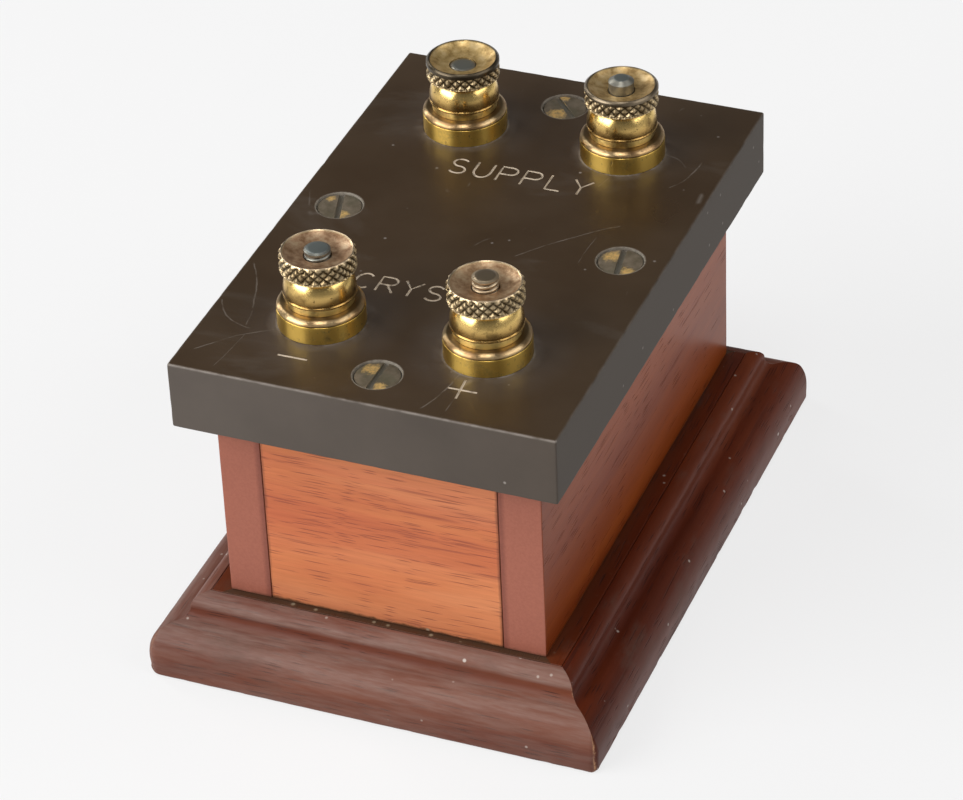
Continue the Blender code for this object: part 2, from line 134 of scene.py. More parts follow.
def light_studio():
    """Two softboxes, a strip and a small overhead light, in a dim room that is lighter below."""
    area_light("softbox_left", -45, 30, 1.5, 1.3, 0.9, 23.7)
    area_light("softbox_right", 92, 40, 1.5, 1.2, 0.9, 8.4)
    area_light("strip_left", -112, 30, 1.5, 0.2, 1.2, 4.5)
    area_light("overhead", 12, 70, 1.5, 0.45, 0.45, 5.0)
    world = bpy.data.worlds.new("studio")
    bpy.context.scene.world = world
    world.use_nodes = True
    tree = world.node_tree
    sky = tree.nodes["Background"]
    way = tree.nodes.new("ShaderNodeTexCoord")
    height = tree.nodes.new("ShaderNodeSeparateXYZ")
    shade = tree.nodes.new("ShaderNodeValToRGB")
    tree.links.new(way.outputs["Generated"], height.inputs["Vector"])
    tree.links.new(height.outputs["Z"], shade.inputs["Fac"])
    tree.links.new(shade.outputs["Color"], sky.inputs["Color"])
    for mark, (place, level) in zip(shade.color_ramp.elements, ((0.2, 0.22), (0.5, 0.1))):
        mark.position = place
        mark.color = (level, level, level * 1.03, 1.0)
    bpy.context.scene.view_settings.view_transform = "Standard"
    bpy.context.scene.view_settings.look = "None"


# Materials


class Shader:
    """A Principled material, its nodes written as calls. Places are in metres, in the piece's own axes."""

    def __init__(self, name, **constants):
        self.material = bpy.data.materials.new(name)
        self.material.use_nodes = True
        self.tree = self.material.node_tree
        self.surface = self.tree.nodes["Principled BSDF"]
        self.colour = None
        for socket, value in constants.items():
            self.surface.inputs[socket.replace("_", " ")].default_value = value

    def node(self, kind, settings=None, **inputs):
        made = self.tree.nodes.new("ShaderNode" + kind)
        for name, value in (settings or {}).items():
            setattr(made, name, value)
        for name, value in inputs.items():
            self.join(made.inputs[name.replace("_", " ")], value)
        return made

    def join(self, socket, value):
        """Links a socket or sets its value. A colour is three numbers, or one for a grey."""
        if isinstance(value, bpy.types.NodeSocket):
            self.tree.links.new(value, socket)
        elif socket.type == "RGBA":
            socket.default_value = rgba(value)
        else:
            socket.default_value = value

    def maths(self, operation, *values):
        made = self.node("Math", {"operation": operation})
        for socket, value in zip(made.inputs, values):
            self.join(socket, value)
        return made.outputs[0]

    def times(self, *values):
        return reduce(partial(self.maths, "MULTIPLY"), values)

    def most(self, *values):
        return reduce(partial(self.maths, "MAXIMUM"), values)

    def least(self, *values):
        return reduce(partial(self.maths, "MINIMUM"), values)

    def plus(self, first, second):
        return self.maths("ADD", first, second)

    def minus(self, first, second):
        return self.maths("SUBTRACT", first, second)

    def inverse(self, value):
        return self.minus(1.0, value)

    def absolute(self, value):
        return self.maths("ABSOLUTE", value)

    def scaled(self, value, factor, offset):
        return self.plus(self.times(value, factor), offset)

    def band(self, value, low, high):
        """0 at low or less, 1 at high or more."""
        made = self.node("MapRange", {"clamp": True}, Value=value, **{"From Min": low, "From Max": high})
        return made.outputs["Result"]

    def fade(self, value, low, high):
        """1 at low or less, 0 at high or more."""
        return self.inverse(self.band(value, low, high))

    def local(self):
        return self.node("TexCoord").outputs["Object"]

    def axis(self, letter):
        """One of the object coordinates."""
        return self.node("SeparateXYZ", Vector=self.local()).outputs[letter]

    def facing(self, letter):
        """How much the surface faces along one of the piece's axes, from -1 to 1."""
        return self.node("SeparateXYZ", Vector=self.node("TexCoord").outputs["Normal"]).outputs[letter]

    def radius(self):
        """Distance from the piece's own Z axis."""
        squares = [self.maths("POWER", self.axis(letter), 2.0) for letter in "XY"]
        return self.maths("SQRT", self.plus(*squares))

    def attribute(self, name):
        return self.node("Attribute", {"attribute_name": name}).outputs["Fac"]

    def place(self, scale, turn=ORIGIN, shift=ORIGIN):
        """Object coordinates, moved by the piece's seed. The scale counts features in a metre."""
        seeded = self.node("VectorMath", {"operation": "ADD"}, Vector=self.local())
        self.join(seeded.inputs[1], self.attribute("seed"))
        scale = scale if isinstance(scale, tuple) else (scale, scale, scale)
        vector = seeded.outputs[0]
        return self.node("Mapping", Vector=vector, Location=shift, Rotation=turn, Scale=scale).outputs[0]

    def cloud(self, scale, detail=3.0, rough=0.55, twist=0.0, turn=ORIGIN, shift=ORIGIN):
        """Noise about 0.5."""
        settings = {"Scale": 1.0, "Detail": detail, "Roughness": rough, "Distortion": twist}
        return self.node("TexNoise", Vector=self.place(scale, turn, shift), **settings).outputs["Fac"]

    def cells(self, vector):
        """Of scattered points, the distance to the nearest one and a random number that belongs to it."""
        made = self.node("TexVoronoi", Vector=vector, Scale=1.0)
        return made.outputs["Distance"], self.node("SeparateColor", Color=made.outputs["Color"]).outputs[0]

    def ramp(self, value, *stops):
        """Stops are (place, colour)."""
        made = self.node("ValToRGB", Fac=value)
        marks = made.color_ramp.elements
        while len(marks) < len(stops):
            marks.new(0.5)
        for mark, (place, colour) in zip(marks, stops):
            mark.position = place
            mark.color = rgba(colour)
        return made.outputs["Color"]

    def mix(self, share, first, second, blend="MIX"):
        """The first colour where share is 0, the second where it is 1."""
        made = self.node("Mix", {"data_type": "RGBA", "blend_type": blend})
        self.join(made.inputs["Factor"], share)
        for socket, value in (("A_Color", first), ("B_Color", second)):
            self.join(next(item for item in made.inputs if item.identifier == socket), value)
        return next(item for item in made.outputs if item.identifier == "Result_Color")

    def paint(self, colour, *shares):
        """Lays a colour over the material's own, as strongly as the shares' product says."""
        self.colour = self.mix(self.times(*shares), self.colour, colour)

    def tinted(self, colour, tint):
        return self.mix(1.0, colour, tint, "MULTIPLY")

    def bump(self, height, distance, before=None):
        made = self.node("Bump", Height=height, Distance=distance, Strength=1.0)
        if before is not None:
            self.join(made.inputs["Normal"], before)
        return made.outputs["Normal"]

    def finish(self, roughness=None, normal=None):
        for socket, value in (("Base Color", self.colour), ("Roughness", roughness), ("Normal", normal)):
            if value is not None:
                self.join(self.surface.inputs[socket], value)
        return self.material


def rgba(colour):
    return (*colour, 1.0) if isinstance(colour, tuple) else (colour, colour, colour, 1.0)


# Shapes


def grid_faces(rows, columns, rows_join, columns_join):
    """The four-sided faces between rows of points. Rows or columns may join up from the last to the first."""
    row = np.arange(rows if rows_join else rows - 1)[:, None]
    column = np.arange(columns if columns_join else columns - 1)[None, :]
    below, beside = (row + 1) % rows, (column + 1) % columns
    here, there = row * columns, below * columns
    corners = np.broadcast_arrays(here + column, here + beside, there + beside, there + column)
    return np.stack(corners, axis=-1).reshape(-1, 4).tolist()


def quarter(start, end, flat_first, steps):
    """Points of a quarter ellipse: level at its start and steep at its end, or the other way round."""
    (x, y), (end_x, end_y) = start, end
    points = []
    for step in range(steps + 1):
        turn = math.radians(90.0) * step / steps
        near, far = math.sin(turn), math.cos(turn)
        if flat_first:
            points.append((x + (end_x - x) * near, end_y + (y - end_y) * far))
        else:
            points.append((end_x + (x - end_x) * far, y + (end_y - y) * near))
    return points


def softened(corners, steps=4):
    """A closed outline from corners (x, y, how far from the corner its rounding starts)."""
    points = []
    for index, (x, y, reach) in enumerate(corners):
        here = Vector((x, y))
        if not reach:
            points.append((x, y))
            continue
        start = here + (Vector(corners[index - 1][:2]) - here).normalized() * reach
        end = here + (Vector(corners[(index + 1) % len(corners)][:2]) - here).normalized() * reach
        for step in range(steps + 1):
            share = step / steps
            points.append(tuple(start.lerp(here, share).lerp(here.lerp(end, share), share)))
    return points


def divided(outline, spacing):
    """The outline with its long stretches cut into short ones."""
    points = []
    for start, end in zip(outline, outline[1:]):
        count = max(1, math.ceil(math.dist(start, end) / spacing))
        points += [tuple(Vector(start).lerp(Vector(end), step / count)) for step in range(count)]
    return [*points, outline[-1]]


def in_metres(outline):
    return [(x * MM, y * MM) for x, y in outline]


def new_object(name, points, faces, place=ORIGIN, turn=0.0, marks=None):
    """A mesh with welded points. Marks are numbers for each point, kept as attributes."""
    mesh = bpy.data.meshes.new(name)
    mesh.from_pydata(np.asarray(points).reshape(-1, 3).tolist(), [], faces)
    for mark, values in (marks or {}).items():
        flat = np.asarray(values, np.float32).ravel()
        mesh.attributes.new(mark, "FLOAT", "POINT").data.foreach_set("value", flat)
    shape = bmesh.new()
    shape.from_mesh(mesh)
    bmesh.ops.remove_doubles(shape, verts=shape.verts[:], dist=1e-8)
    bmesh.ops.recalc_face_normals(shape, faces=shape.faces[:])
    shape.to_mesh(mesh)
    shape.free()
    return add_to_scene(name, mesh, place, turn)


def add_to_scene(name, mesh, place=ORIGIN, turn=0.0):
    obj = bpy.data.objects.new(name, mesh)
    obj.location = place
    obj.rotation_euler = (0.0, 0.0, math.radians(turn))
    bpy.context.scene.collection.objects.link(obj)
    return obj


def turned(name, outline, sides, place=ORIGIN, closed=False, change=None):
    """Points (radius, height) turned about Z. change(radius, height, turn) moves and marks them."""
    outline = np.array(outline)
    turn = np.broadcast_to(np.arange(sides) * TAU / sides, (len(outline), sides))
    radius = np.repeat(outline[:, :1], sides, axis=1)
    height = np.repeat(outline[:, 1:], sides, axis=1)
    marks = {}
    if change is not None:
        radius, height, marks = change(radius, height, turn)
    points = np.stack([radius * np.cos(turn), radius * np.sin(turn), height], axis=-1)
    return new_object(name, points, grid_faces(len(outline), sides, closed, True), place, marks=marks)


def settle(obj):
    """Applies the object's modifiers."""
    bpy.context.view_layer.update()
    graph = bpy.context.evaluated_depsgraph_get()
    done = bpy.data.meshes.new_from_object(obj.evaluated_get(graph))
    obj.modifiers.clear()
    obj.data = done


def carve(obj, *cutters, painted=False):
    """Cuts the cutters away. A painted cut keeps the cutter's material."""
    for cutter in cutters:
        cut = obj.modifiers.new("cut", "BOOLEAN")
        cut.operation = "DIFFERENCE"
        cut.solver = "EXACT"
        cut.use_self = painted
        cut.material_mode = "TRANSFER" if painted else "INDEX"
        cut.object = cutter
    settle(obj)
    for cutter in cutters:
        bpy.data.objects.remove(cutter)


SLOT_OF = {part["node"]: part["material_slot"] for part in frame["record"]["subparts"]}


def stand_for(obj, node, seed, sharp=35.0):
    """Finishes a piece in place of a CAD node: its material, shading, slot and body."""
    mesh = obj.data
    if not mesh.materials:
        mesh.materials.append(MATERIALS[SLOT_OF[node]])
    mesh.shade_smooth()
    mesh.set_sharp_from_angle(angle=math.radians(sharp))
    seeds = mesh.attributes.get("seed") or mesh.attributes.new("seed", "FLOAT", "POINT")
    seeds.data.foreach_set("value", np.full(len(mesh.vertices), seed * SEED_STEP, np.float32))
    even = obj.modifiers.new("even_shading", "WEIGHTED_NORMAL")
    even.keep_sharp = True
    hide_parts(node)
    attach(obj, frame["nodes"][node]["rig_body"])


def slab(name, low, high, edge, spacing=None, wear=0.0, turn=0.0, seed=0.0):
    """A board between two corners, with rounded edges. Its own X axis is turned about Z.

    Spacing divides its faces, so that its edges can wear unevenly.
    """
    back = Matrix.Rotation(-math.radians(turn), 4, "Z")
    corners = (back @ Vector(low), back @ Vector(high))
    low, high = (Vector(pick(pair) for pair in zip(*corners)) for pick in (min, max))
    middle, half = (low + high) / 2, (high - low) / 2
    shape = bmesh.new()
    bmesh.ops.create_cube(shape, size=2.0, matrix=Matrix.Translation(middle) @ Matrix.Diagonal((*half, 1.0)))
    bmesh.ops.bevel(shape, geom=shape.edges[:], offset=edge, segments=3, profile=0.5, affect="EDGES")
    for axis in range(3):
        count = round(2 * half[axis] / spacing) if spacing else 1
        along = Vector([float(axis == other) for other in range(3)])
        for step in range(1, count):
            where = middle + along * half[axis] * (2 * step / count - 1)
            everything = shape.verts[:] + shape.edges[:] + shape.faces[:]
            bmesh.ops.bisect_plane(shape, geom=everything, plane_co=where, plane_no=along)
    for vert in shape.verts:
        out = vert.co - middle
        inset = sorted(half[axis] - abs(out[axis]) for axis in range(3))
        near_edge = max(0.0, 1.0 - inset[1] / (3.0 * edge))
        place = vert.co / MM + Vector((seed, seed, seed))
        chip = max(0.0, noise.noise(place * 0.7) + 0.6 * noise.noise(place * 2.1) - 0.15)
        vert.co -= Vector([math.copysign(1.0, value) for value in out]) * near_edge * chip * wear
    mesh = bpy.data.meshes.new(name)
    shape.to_mesh(mesh)
    shape.free()
    return add_to_scene(name, mesh, turn=turn)


# Base: a board with a mitred moulding round it

MOULDING_WIDTH = BASE_HALF_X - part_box("base_moulding_right")[0].x
BEAD_END, COVE_END = (2.7 * MM, 11.0 * MM), (4.3 * MM, 9.0 * MM)
OVOLO_END, FOOT_ROUND = (MOULDING_WIDTH, 3.4 * MM), 0.8 * MM
SIDE_TURNS = {"front": 0.0, "right": 90.0, "back": 180.0, "left": 270.0}
# How far the two ends of each side are rounded in plan, in millimetres, and how bare their mitres are rubbed
CORNER_ROUNDS = {"front": (2.4, 1.3), "right": (1.3, 1.2), "back": (1.2, 1.6), "left": (1.6, 2.4)}
MITRE_WEAR = {"front": (0.15, 1.0), "right": (1.0, 0.5), "back": (0.5, 0.5), "left": (0.5, 0.15)}
DUST_AND_SHEEN = {"front": 1.0, "right": 0.0, "back": 0.4, "left": 0.8}  # how dusty each side is and how much painted sheen it gets: most on the lit front, none on the shaded right
WAVE, CHIPS_FROM, MITRE_GAP = 0.035, 0.28, 0.07  # uneven faces, where chips start in the noise, open joints


def moulding_outline():
    """(distance out, height) from the top of the inner face, over the bead, cove and ovolo, to the foot."""
    points = [(0.0, BASE_HEIGHT - 0.2 * MM)]
    points += quarter((0.2 * MM, BASE_HEIGHT), BEAD_END, True, 9)
    points += quarter(BEAD_END, COVE_END, False, 8)[1:]
    points += quarter(COVE_END, OVOLO_END, True, 14)[1:]
    points += [(MOULDING_WIDTH, 2.7 * MM), (MOULDING_WIDTH - 0.03 * MM, 1.6 * MM)]
    foot = (MOULDING_WIDTH - FOOT_ROUND, 0.02 * MM)
    points += quarter(foot, (MOULDING_WIDTH - 0.06 * MM, FOOT_ROUND), True, 5)[::-1]
    return [*points, (0.0, 0.02 * MM)]


def outline_normals(outline):
    """The way out of an outline at each of its points. Its outside is on its left."""
    points = np.array(outline)
    along = np.gradient(points, axis=0)
    along /= np.linalg.norm(along, axis=1, keepdims=True)
    return np.stack([-along[:, 1], along[:, 0]], axis=-1)


def moulding(side):
    """One side of the moulding, made along its own X axis with its face towards -Y."""
    node = "base_moulding_" + side
    half_length, reach = BASE_HALF_X - MOULDING_WIDTH, BASE_HALF_Y - MOULDING_WIDTH
    if side in ("left", "right"):
        half_length, reach = reach, half_length
    seed = seed_of("moulding", SIDES.index(side))
    turns = np.radians(np.linspace(45.0, 0.0, 6))
    bends = [(math.sin(turn), 1.0 - math.cos(turn)) for turn in turns]
    stations = np.linspace(0.0, 1.0, 2 * round(half_length / MM))[1:-1]
    outline = moulding_outline()
    rows, mitre = [], []
    for (out, height), (push_out, push_up) in zip(outline, outline_normals(outline)):
        low, high = (max(0.05 * MM, out - MOULDING_WIDTH + corner * MM) for corner in CORNER_ROUNDS[side])
        low_end, high_end = low - half_length - out, half_length + out - high
        path = [(low_end - low * aside, out - low * inwards) for aside, inwards in bends]
        path += [(low_end + (high_end - low_end) * station, out) for station in stations]
        path += [(high_end + high * aside, out - high * inwards) for aside, inwards in bends[::-1]]
        hidden = height < 0.1 * MM or out < 0.1 * MM
        for index, (x, distance) in enumerate(path):
            place = Vector((x, distance * 1.7, height * 1.7)) / MM
            at_mitre = max(0.0, 1.0 - min(index, len(path) - 1 - index) / 2.0)
            wave = WAVE * noise.noise(place * 0.35 + Vector((seed, 0.0, 0.0))) - 0.02
            chip = max(0.0, noise.noise(place * 0.9 + Vector((0.0, seed, 3.0))) - CHIPS_FROM)
            low_edge = max(0.0, 1.0 - height / (4.0 * MM))
            push = 0.0 if hidden else (wave - chip * (0.15 + 0.6 * low_edge) - at_mitre * MITRE_GAP) * MM
            rows.append((x, -reach - distance - push_out * push, height + push_up * push))
            mitre.append(at_mitre * MITRE_WEAR[side][index > len(path) // 2])
    count = len(rows) // len(outline)
    faces = grid_faces(len(outline), count, True, False)
    faces.append([row * count for row in range(len(outline))])
    faces.append([row * count + count - 1 for row in range(len(outline))])
    marks = {"mitre": mitre, "dust_and_sheen_share": np.full(len(rows), DUST_AND_SHEEN[side])}
    piece = new_object(node + "_worn", rows, faces, turn=SIDE_TURNS[side], marks=marks)
    stand_for(piece, node, seed, sharp=30.0)


def base_board():
    node = "base_board"
    low, high = BOARD_LOW.copy(), BOARD_HIGH.copy()
    for axis, reach in ((0, BASE_HALF_X), (1, BASE_HALF_Y)):
        low[axis], high[axis] = MOULDING_WIDTH - reach, reach - MOULDING_WIDTH
    low.z += 0.02 * MM
    board = slab("base_board_worn", low, high, edge=0.12 * MM, turn=90.0)
    screws = [name for name in frame["nodes"] if name.startswith("base_screw_")]
    carve(board, *[countersink(name) for name in sorted(screws)])
    grimy = board.data.attributes.new("grimy", "FLOAT", "POINT")
    grimy.data.foreach_set("value", np.ones(len(board.data.vertices), np.float32))
    stand_for(board, node, seed_of("base_board"))


# Wood screws

SCREW_RECESS = 0.16 * MM
SCREW_FACETS = 96
SCREWS = {  # the slot's angle, and where the brass is rubbed bright: along the slot, across it, and how far
    "panel_screw_front": (89, ((1.3, 1.5, 1.7), (-2.6, -1.5, 1.3))),
    "panel_screw_back": (132, ((-1.3, 1.9, 1.9), (2.8, -0.9, 1.2))),
    "panel_screw_left": (106, ((-2.4, -0.8, 1.3), (2.3, 1.6, 1.0))),
    "panel_screw_right": (99, ((1.3, 1.5, 1.8), (-2.6, -1.5, 1.4))),
}
PLAIN_SCREW = (30, ((1.5, 1.5, 1.2),))


def screw_place(node):
    """The middle of a screw's face, its head's radius, its length, and 1 or -1 for up or down."""
    low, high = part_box(node)
    middle = (low + high) / 2
    faces_up = node.startswith("panel")
    middle.z = high.z if faces_up else low.z
    return middle, (high.x - low.x) / 2, high.z - low.z, 1.0 if faces_up else -1.0


def countersink(node):
    """A cutter for the hollow that a screw's head stands in, with a small worn chamfer round it."""
    middle, radius, _, way = screw_place(node)
    depth = 3.0 * MM
    outline = [
        (0.0, MM),
        (radius + 1.27 * MM, MM),
        (radius + 0.25 * MM, -0.02 * MM),
        (radius + 0.16 * MM, -0.14 * MM),
        (radius + 0.1 * MM, -0.6 * MM),
        (radius - depth + 0.68 * MM, -depth),
        (0.0, -depth),
    ]
    return turned(node + "_hollow", [(x, y * way) for x, y in outline], SCREW_FACETS, middle)


def wood_screw(node):
    """A slotted wood screw, with its slot along its own X axis."""
    middle, radius, length, way = screw_place(node)
    angle, patches = SCREWS.get(node, PLAIN_SCREW)
    shank, rim, crown = 1.3 * MM, 0.45 * MM, 0.05 * MM
    cone_end = -rim - radius + shank
    outline = [(0.0, 0.0), (radius * 0.6, -0.01 * MM), (radius * 0.9, -crown)]
    outline += [(radius - 0.05 * MM, -2 * crown), (radius, -3.5 * crown), (radius, -rim)]
    outline += [(shank, cone_end), (shank, 3 * shank - length), (0.0, -length)]
    outline = [(x, (y - SCREW_RECESS) * way) for x, y in divided(outline, 0.3 * MM)]
    screw = turned(node + "_slotted", outline, SCREW_FACETS, middle)
    width, depth, flare, shoulder, high = 0.42 * MM, -0.62 * MM, 0.5 * MM, -0.28 * MM, 2.0 * MM
    section = [(-width, depth), (width, depth), (width, shoulder), (flare, -SCREW_RECESS), (flare, high)]
    section += [(-flare, high), (-flare, -SCREW_RECESS), (-width, shoulder)]
    ends = [(side * 2 * radius, y, z * way) for side in (-1, 1) for y, z in section]
    faces = grid_faces(2, len(section), False, True)
    faces += [list(range(len(section))), list(range(len(section), 2 * len(section)))]
    carve(screw, new_object("slot", ends, faces, middle))
    points = np.array([vert.co for vert in screw.data.vertices]) / MM
    rubbed = np.zeros(len(points))
    for along, across, reach in patches:
        away = np.hypot(points[:, 0] - along, points[:, 1] - across * way)
        rubbed = np.maximum(rubbed, np.clip(1.5 - 1.2 * away / reach, 0.0, 1.0))
    on_face = points[:, 2] * way > -SCREW_RECESS / MM - 0.2
    screw.data.attributes.new("rubbed", "FLOAT", "POINT").data.foreach_set("value", rubbed * on_face)
    screw.rotation_euler = (0.0, 0.0, math.radians(angle))
    stand_for(screw, node, middle.x / MM + 0.7 * middle.y / MM, sharp=30.0)


# Panel, with its engraving

PAINT_WIDTH, CUT_RAISE = 0.23 * MM, 0.09 * MM


def arc(x, y, wide, high, start, end):
    steps = max(4, round(abs(end - start) / 15))
    turns = [math.radians(start + (end - start) * step / steps) for step in range(steps + 1)]
    return [(x + wide * math.cos(turn), y + high * math.sin(turn)) for turn in turns]


BOWL = [(0.05, 0.0), (0.05, 1.0), (0.55, 1.0), *arc(0.58, 0.745, 0.36, 0.255, 90, -90)[1:], (0.05, 0.49)]
STROKES = {  # each letter's strokes, in a box from 0 to 1
    "A": [[(0.0, 0.0), (0.5, 1.0), (1.0, 0.0)], [(0.17, 0.34), (0.83, 0.34)]],
    "C": [arc(0.52, 0.5, 0.47, 0.5, 48, 312)],
    "L": [[(0.08, 1.0), (0.08, 0.0), (0.88, 0.0)]],
    "P": [BOWL],
    "R": [BOWL, [(0.5, 0.49), (0.96, 0.0)]],
    "S": [[*arc(0.5, 0.75, 0.39, 0.25, 35, 270), *arc(0.5, 0.25, 0.42, 0.25, 90, -150)[1:]]],
    "T": [[(0.0, 1.0), (1.0, 1.0)], [(0.5, 1.0), (0.5, 0.0)]],
    "U": [[(0.05, 1.0), (0.05, 0.42), *arc(0.5, 0.42, 0.45, 0.42, 180, 360)[1:], (0.95, 1.0)]],
    "Y": [[(0.0, 1.0), (0.5, 0.5), (1.0, 1.0)], [(0.5, 0.5), (0.5, 0.0)]],
}


def lettering(word, left, foot, width, height, pitch):
    """The strokes of a word, in millimetres from the panel's middle."""
    strokes = []
    for index, letter in enumerate(word):
        for stroke in STROKES[letter]:
            start = left + index * pitch
            strokes.append([(start + x * width, foot + y * height) for x, y in stroke])
    return strokes


def engraving():
    """A cutter along every engraved stroke, rounded underneath and filled with its own paint."""
    supply = lettering("SUPPLY", left=-11.7, foot=15.5, width=3.15, height=4.2, pitch=4.22)
    crystal = lettering("CRYSTAL", left=-13.4, foot=-20.2, width=3.05, height=4.0, pitch=3.97)
    minus = [[(-16.6, -41.2), (-11.7, -41.15)]]
    plus = [[(11.4, -41.07), (16.1, -41.0)], [(13.25, -38.4), (13.57, -43.35)]]
    curve = bpy.data.curves.new("engraving", "CURVE")
    curve.dimensions = "3D"
    curve.bevel_depth = PAINT_WIDTH
    curve.bevel_resolution = 2
    curve.use_fill_caps = True
    for stroke in (*supply, *crystal, *minus, *plus):
        spline = curve.splines.new("POLY")
        spline.points.add(len(stroke) - 1)
        for point, (x, y) in zip(spline.points, stroke):
            point.co = (x * MM, y * MM, PANEL_TOP + CUT_RAISE, 1.0)
    cutter = add_to_scene("engraving", curve)
    bpy.context.view_layer.update()
    mesh = bpy.data.meshes.new_from_object(cutter.evaluated_get(bpy.context.evaluated_depsgraph_get()))
    bpy.data.objects.remove(cutter)
    mesh.materials.clear()
    mesh.materials.append(MATERIALS["engraving_paint"])
    return add_to_scene("engraving", mesh)


def panel():
    board = slab("ebonite_panel", PANEL_LOW, PANEL_HIGH, edge=0.32 * MM, spacing=1.6 * MM, wear=0.1 * MM)
    carve(board, *[countersink("panel_screw_" + side) for side in SIDES])
    board.data.materials.append(MATERIALS["ebonite"])
    carve(board, engraving(), painted=True)
    stand_for(board, "panel", seed_of("panel"))


# Case walls


def walls():
    for side, turn in (("front", 0.0), ("back", 0.0), ("left", 90.0), ("right", 90.0)):
        node = side + "_wall"
        low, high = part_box(node)
        low.z, high.z = BASE_HEIGHT + 0.01 * MM, PANEL_LOW.z - 0.03 * MM
        if turn == 0.0:
            high.x = JOINT_X - 0.02 * MM
            low.x = -high.x
        seed = seed_of("wall", SIDES.index(side))
        edges = {"edge": 0.22 * MM, "spacing": 3.0 * MM, "wear": 0.05 * MM}
        board = slab(node + "_waxed", low, high, turn=turn, seed=seed, **edges)
        stand_for(board, node, seed)


# Binding posts, in millimetres from the panel's top

BORE = 2.25
COLLAR_TOP = 4.08
NUT_FOOT, NUT_TOP, HEAD_FOOT, HEAD_RADIUS = 5.42, 13.1, 10.02, 6.05
POST_FACETS, NUT_FACETS, STUD_FACETS, DOME_STEPS = 160, 312, 64, 30
KNURLS_ROUND, KNURL_PITCH, KNURL_DEPTH = 25, 1.4 * MM, 0.42 * MM
THREAD_PITCH, THREAD_DEPTH = 0.794 * MM, 0.34 * MM
STUD_ENDS = {  # the flat end's radius, how far down its chamfer and its plain end reach, and how grey it is
    "front_left": (1.7, 0.25, 0.55, 1.0),
    "front_right": (1.6, 0.22, 0.3, 0.0),
    "rear_left": (1.8, 0.15, 0.5, 0.7),
    "rear_right": (1.25, 0.6, 2.6, 0.9),
}
DISHES = {  # how deep the dish is, how far down the head's top edge stays smooth, and how golden the dish is
    "front_left": (1.0, -0.04, 0.0),
    "front_right": (1.0, -0.04, 0.1),
    "rear_left": (1.35, 0.75, 1.0),
    "rear_right": (1.1, 0.6, 0.8),
}


def post_place(place):
    low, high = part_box("post_base_" + place)
    return Vector(((low.x + high.x) / 2, (low.y + high.y) / 2, PANEL_TOP))


def on_post(place, name, node, outline, facets, sharp, closed=True, change=None):
    """Turns a piece of a binding post, in place of its CAD node."""
    piece = turned(name + "_" + place, outline, facets, post_place(place), closed, change)
    stand_for(piece, node + "_" + place, seed_of(node, PLACES.index(place)), sharp)


def collar(place):
    """A drum with a fine groove under its rounded shoulder."""
    drum = [(BORE, 0.02, 0.0), (6.95, 0.02, 0.1), (6.95, 3.05, 0.08)]
    groove = [(6.78, 3.12, 0.05), (6.78, 3.2, 0.05)]
    shoulder = [(6.92, 3.28, 0.08), (6.88, 3.62, 0.22), (6.35, COLLAR_TOP, 0.32), (BORE, COLLAR_TOP, 0.0)]
    outline = softened([*drum, *groove, *shoulder])
    outline = in_metres(divided([*outline, outline[0]], 0.4)[:-1])
    on_post(place, "collar", "post_base", outline, POST_FACETS, 50.0)


def clamp_washer(place):
    low, high = COLLAR_TOP + 0.03, NUT_FOOT - 0.04
    outline = softened([(BORE, low, 0.0), (5.38, low, 0.1), (5.38, high, 0.14), (BORE, high, 0.0)])
    on_post(place, "neck_ring", "clamp_washer", in_metres(outline), POST_FACETS, 50.0)


def knurl_height(turn, height):
    """0 in a groove of the knurl, 1 on the worn tip of a diamond."""
    across = []
    for hand in (1, -1):
        phase = (KNURLS_ROUND * turn / TAU + hand * height / KNURL_PITCH) % 1.0
        across.append(1.0 - np.abs(2.0 * phase - 1.0))
    return np.minimum(*across)


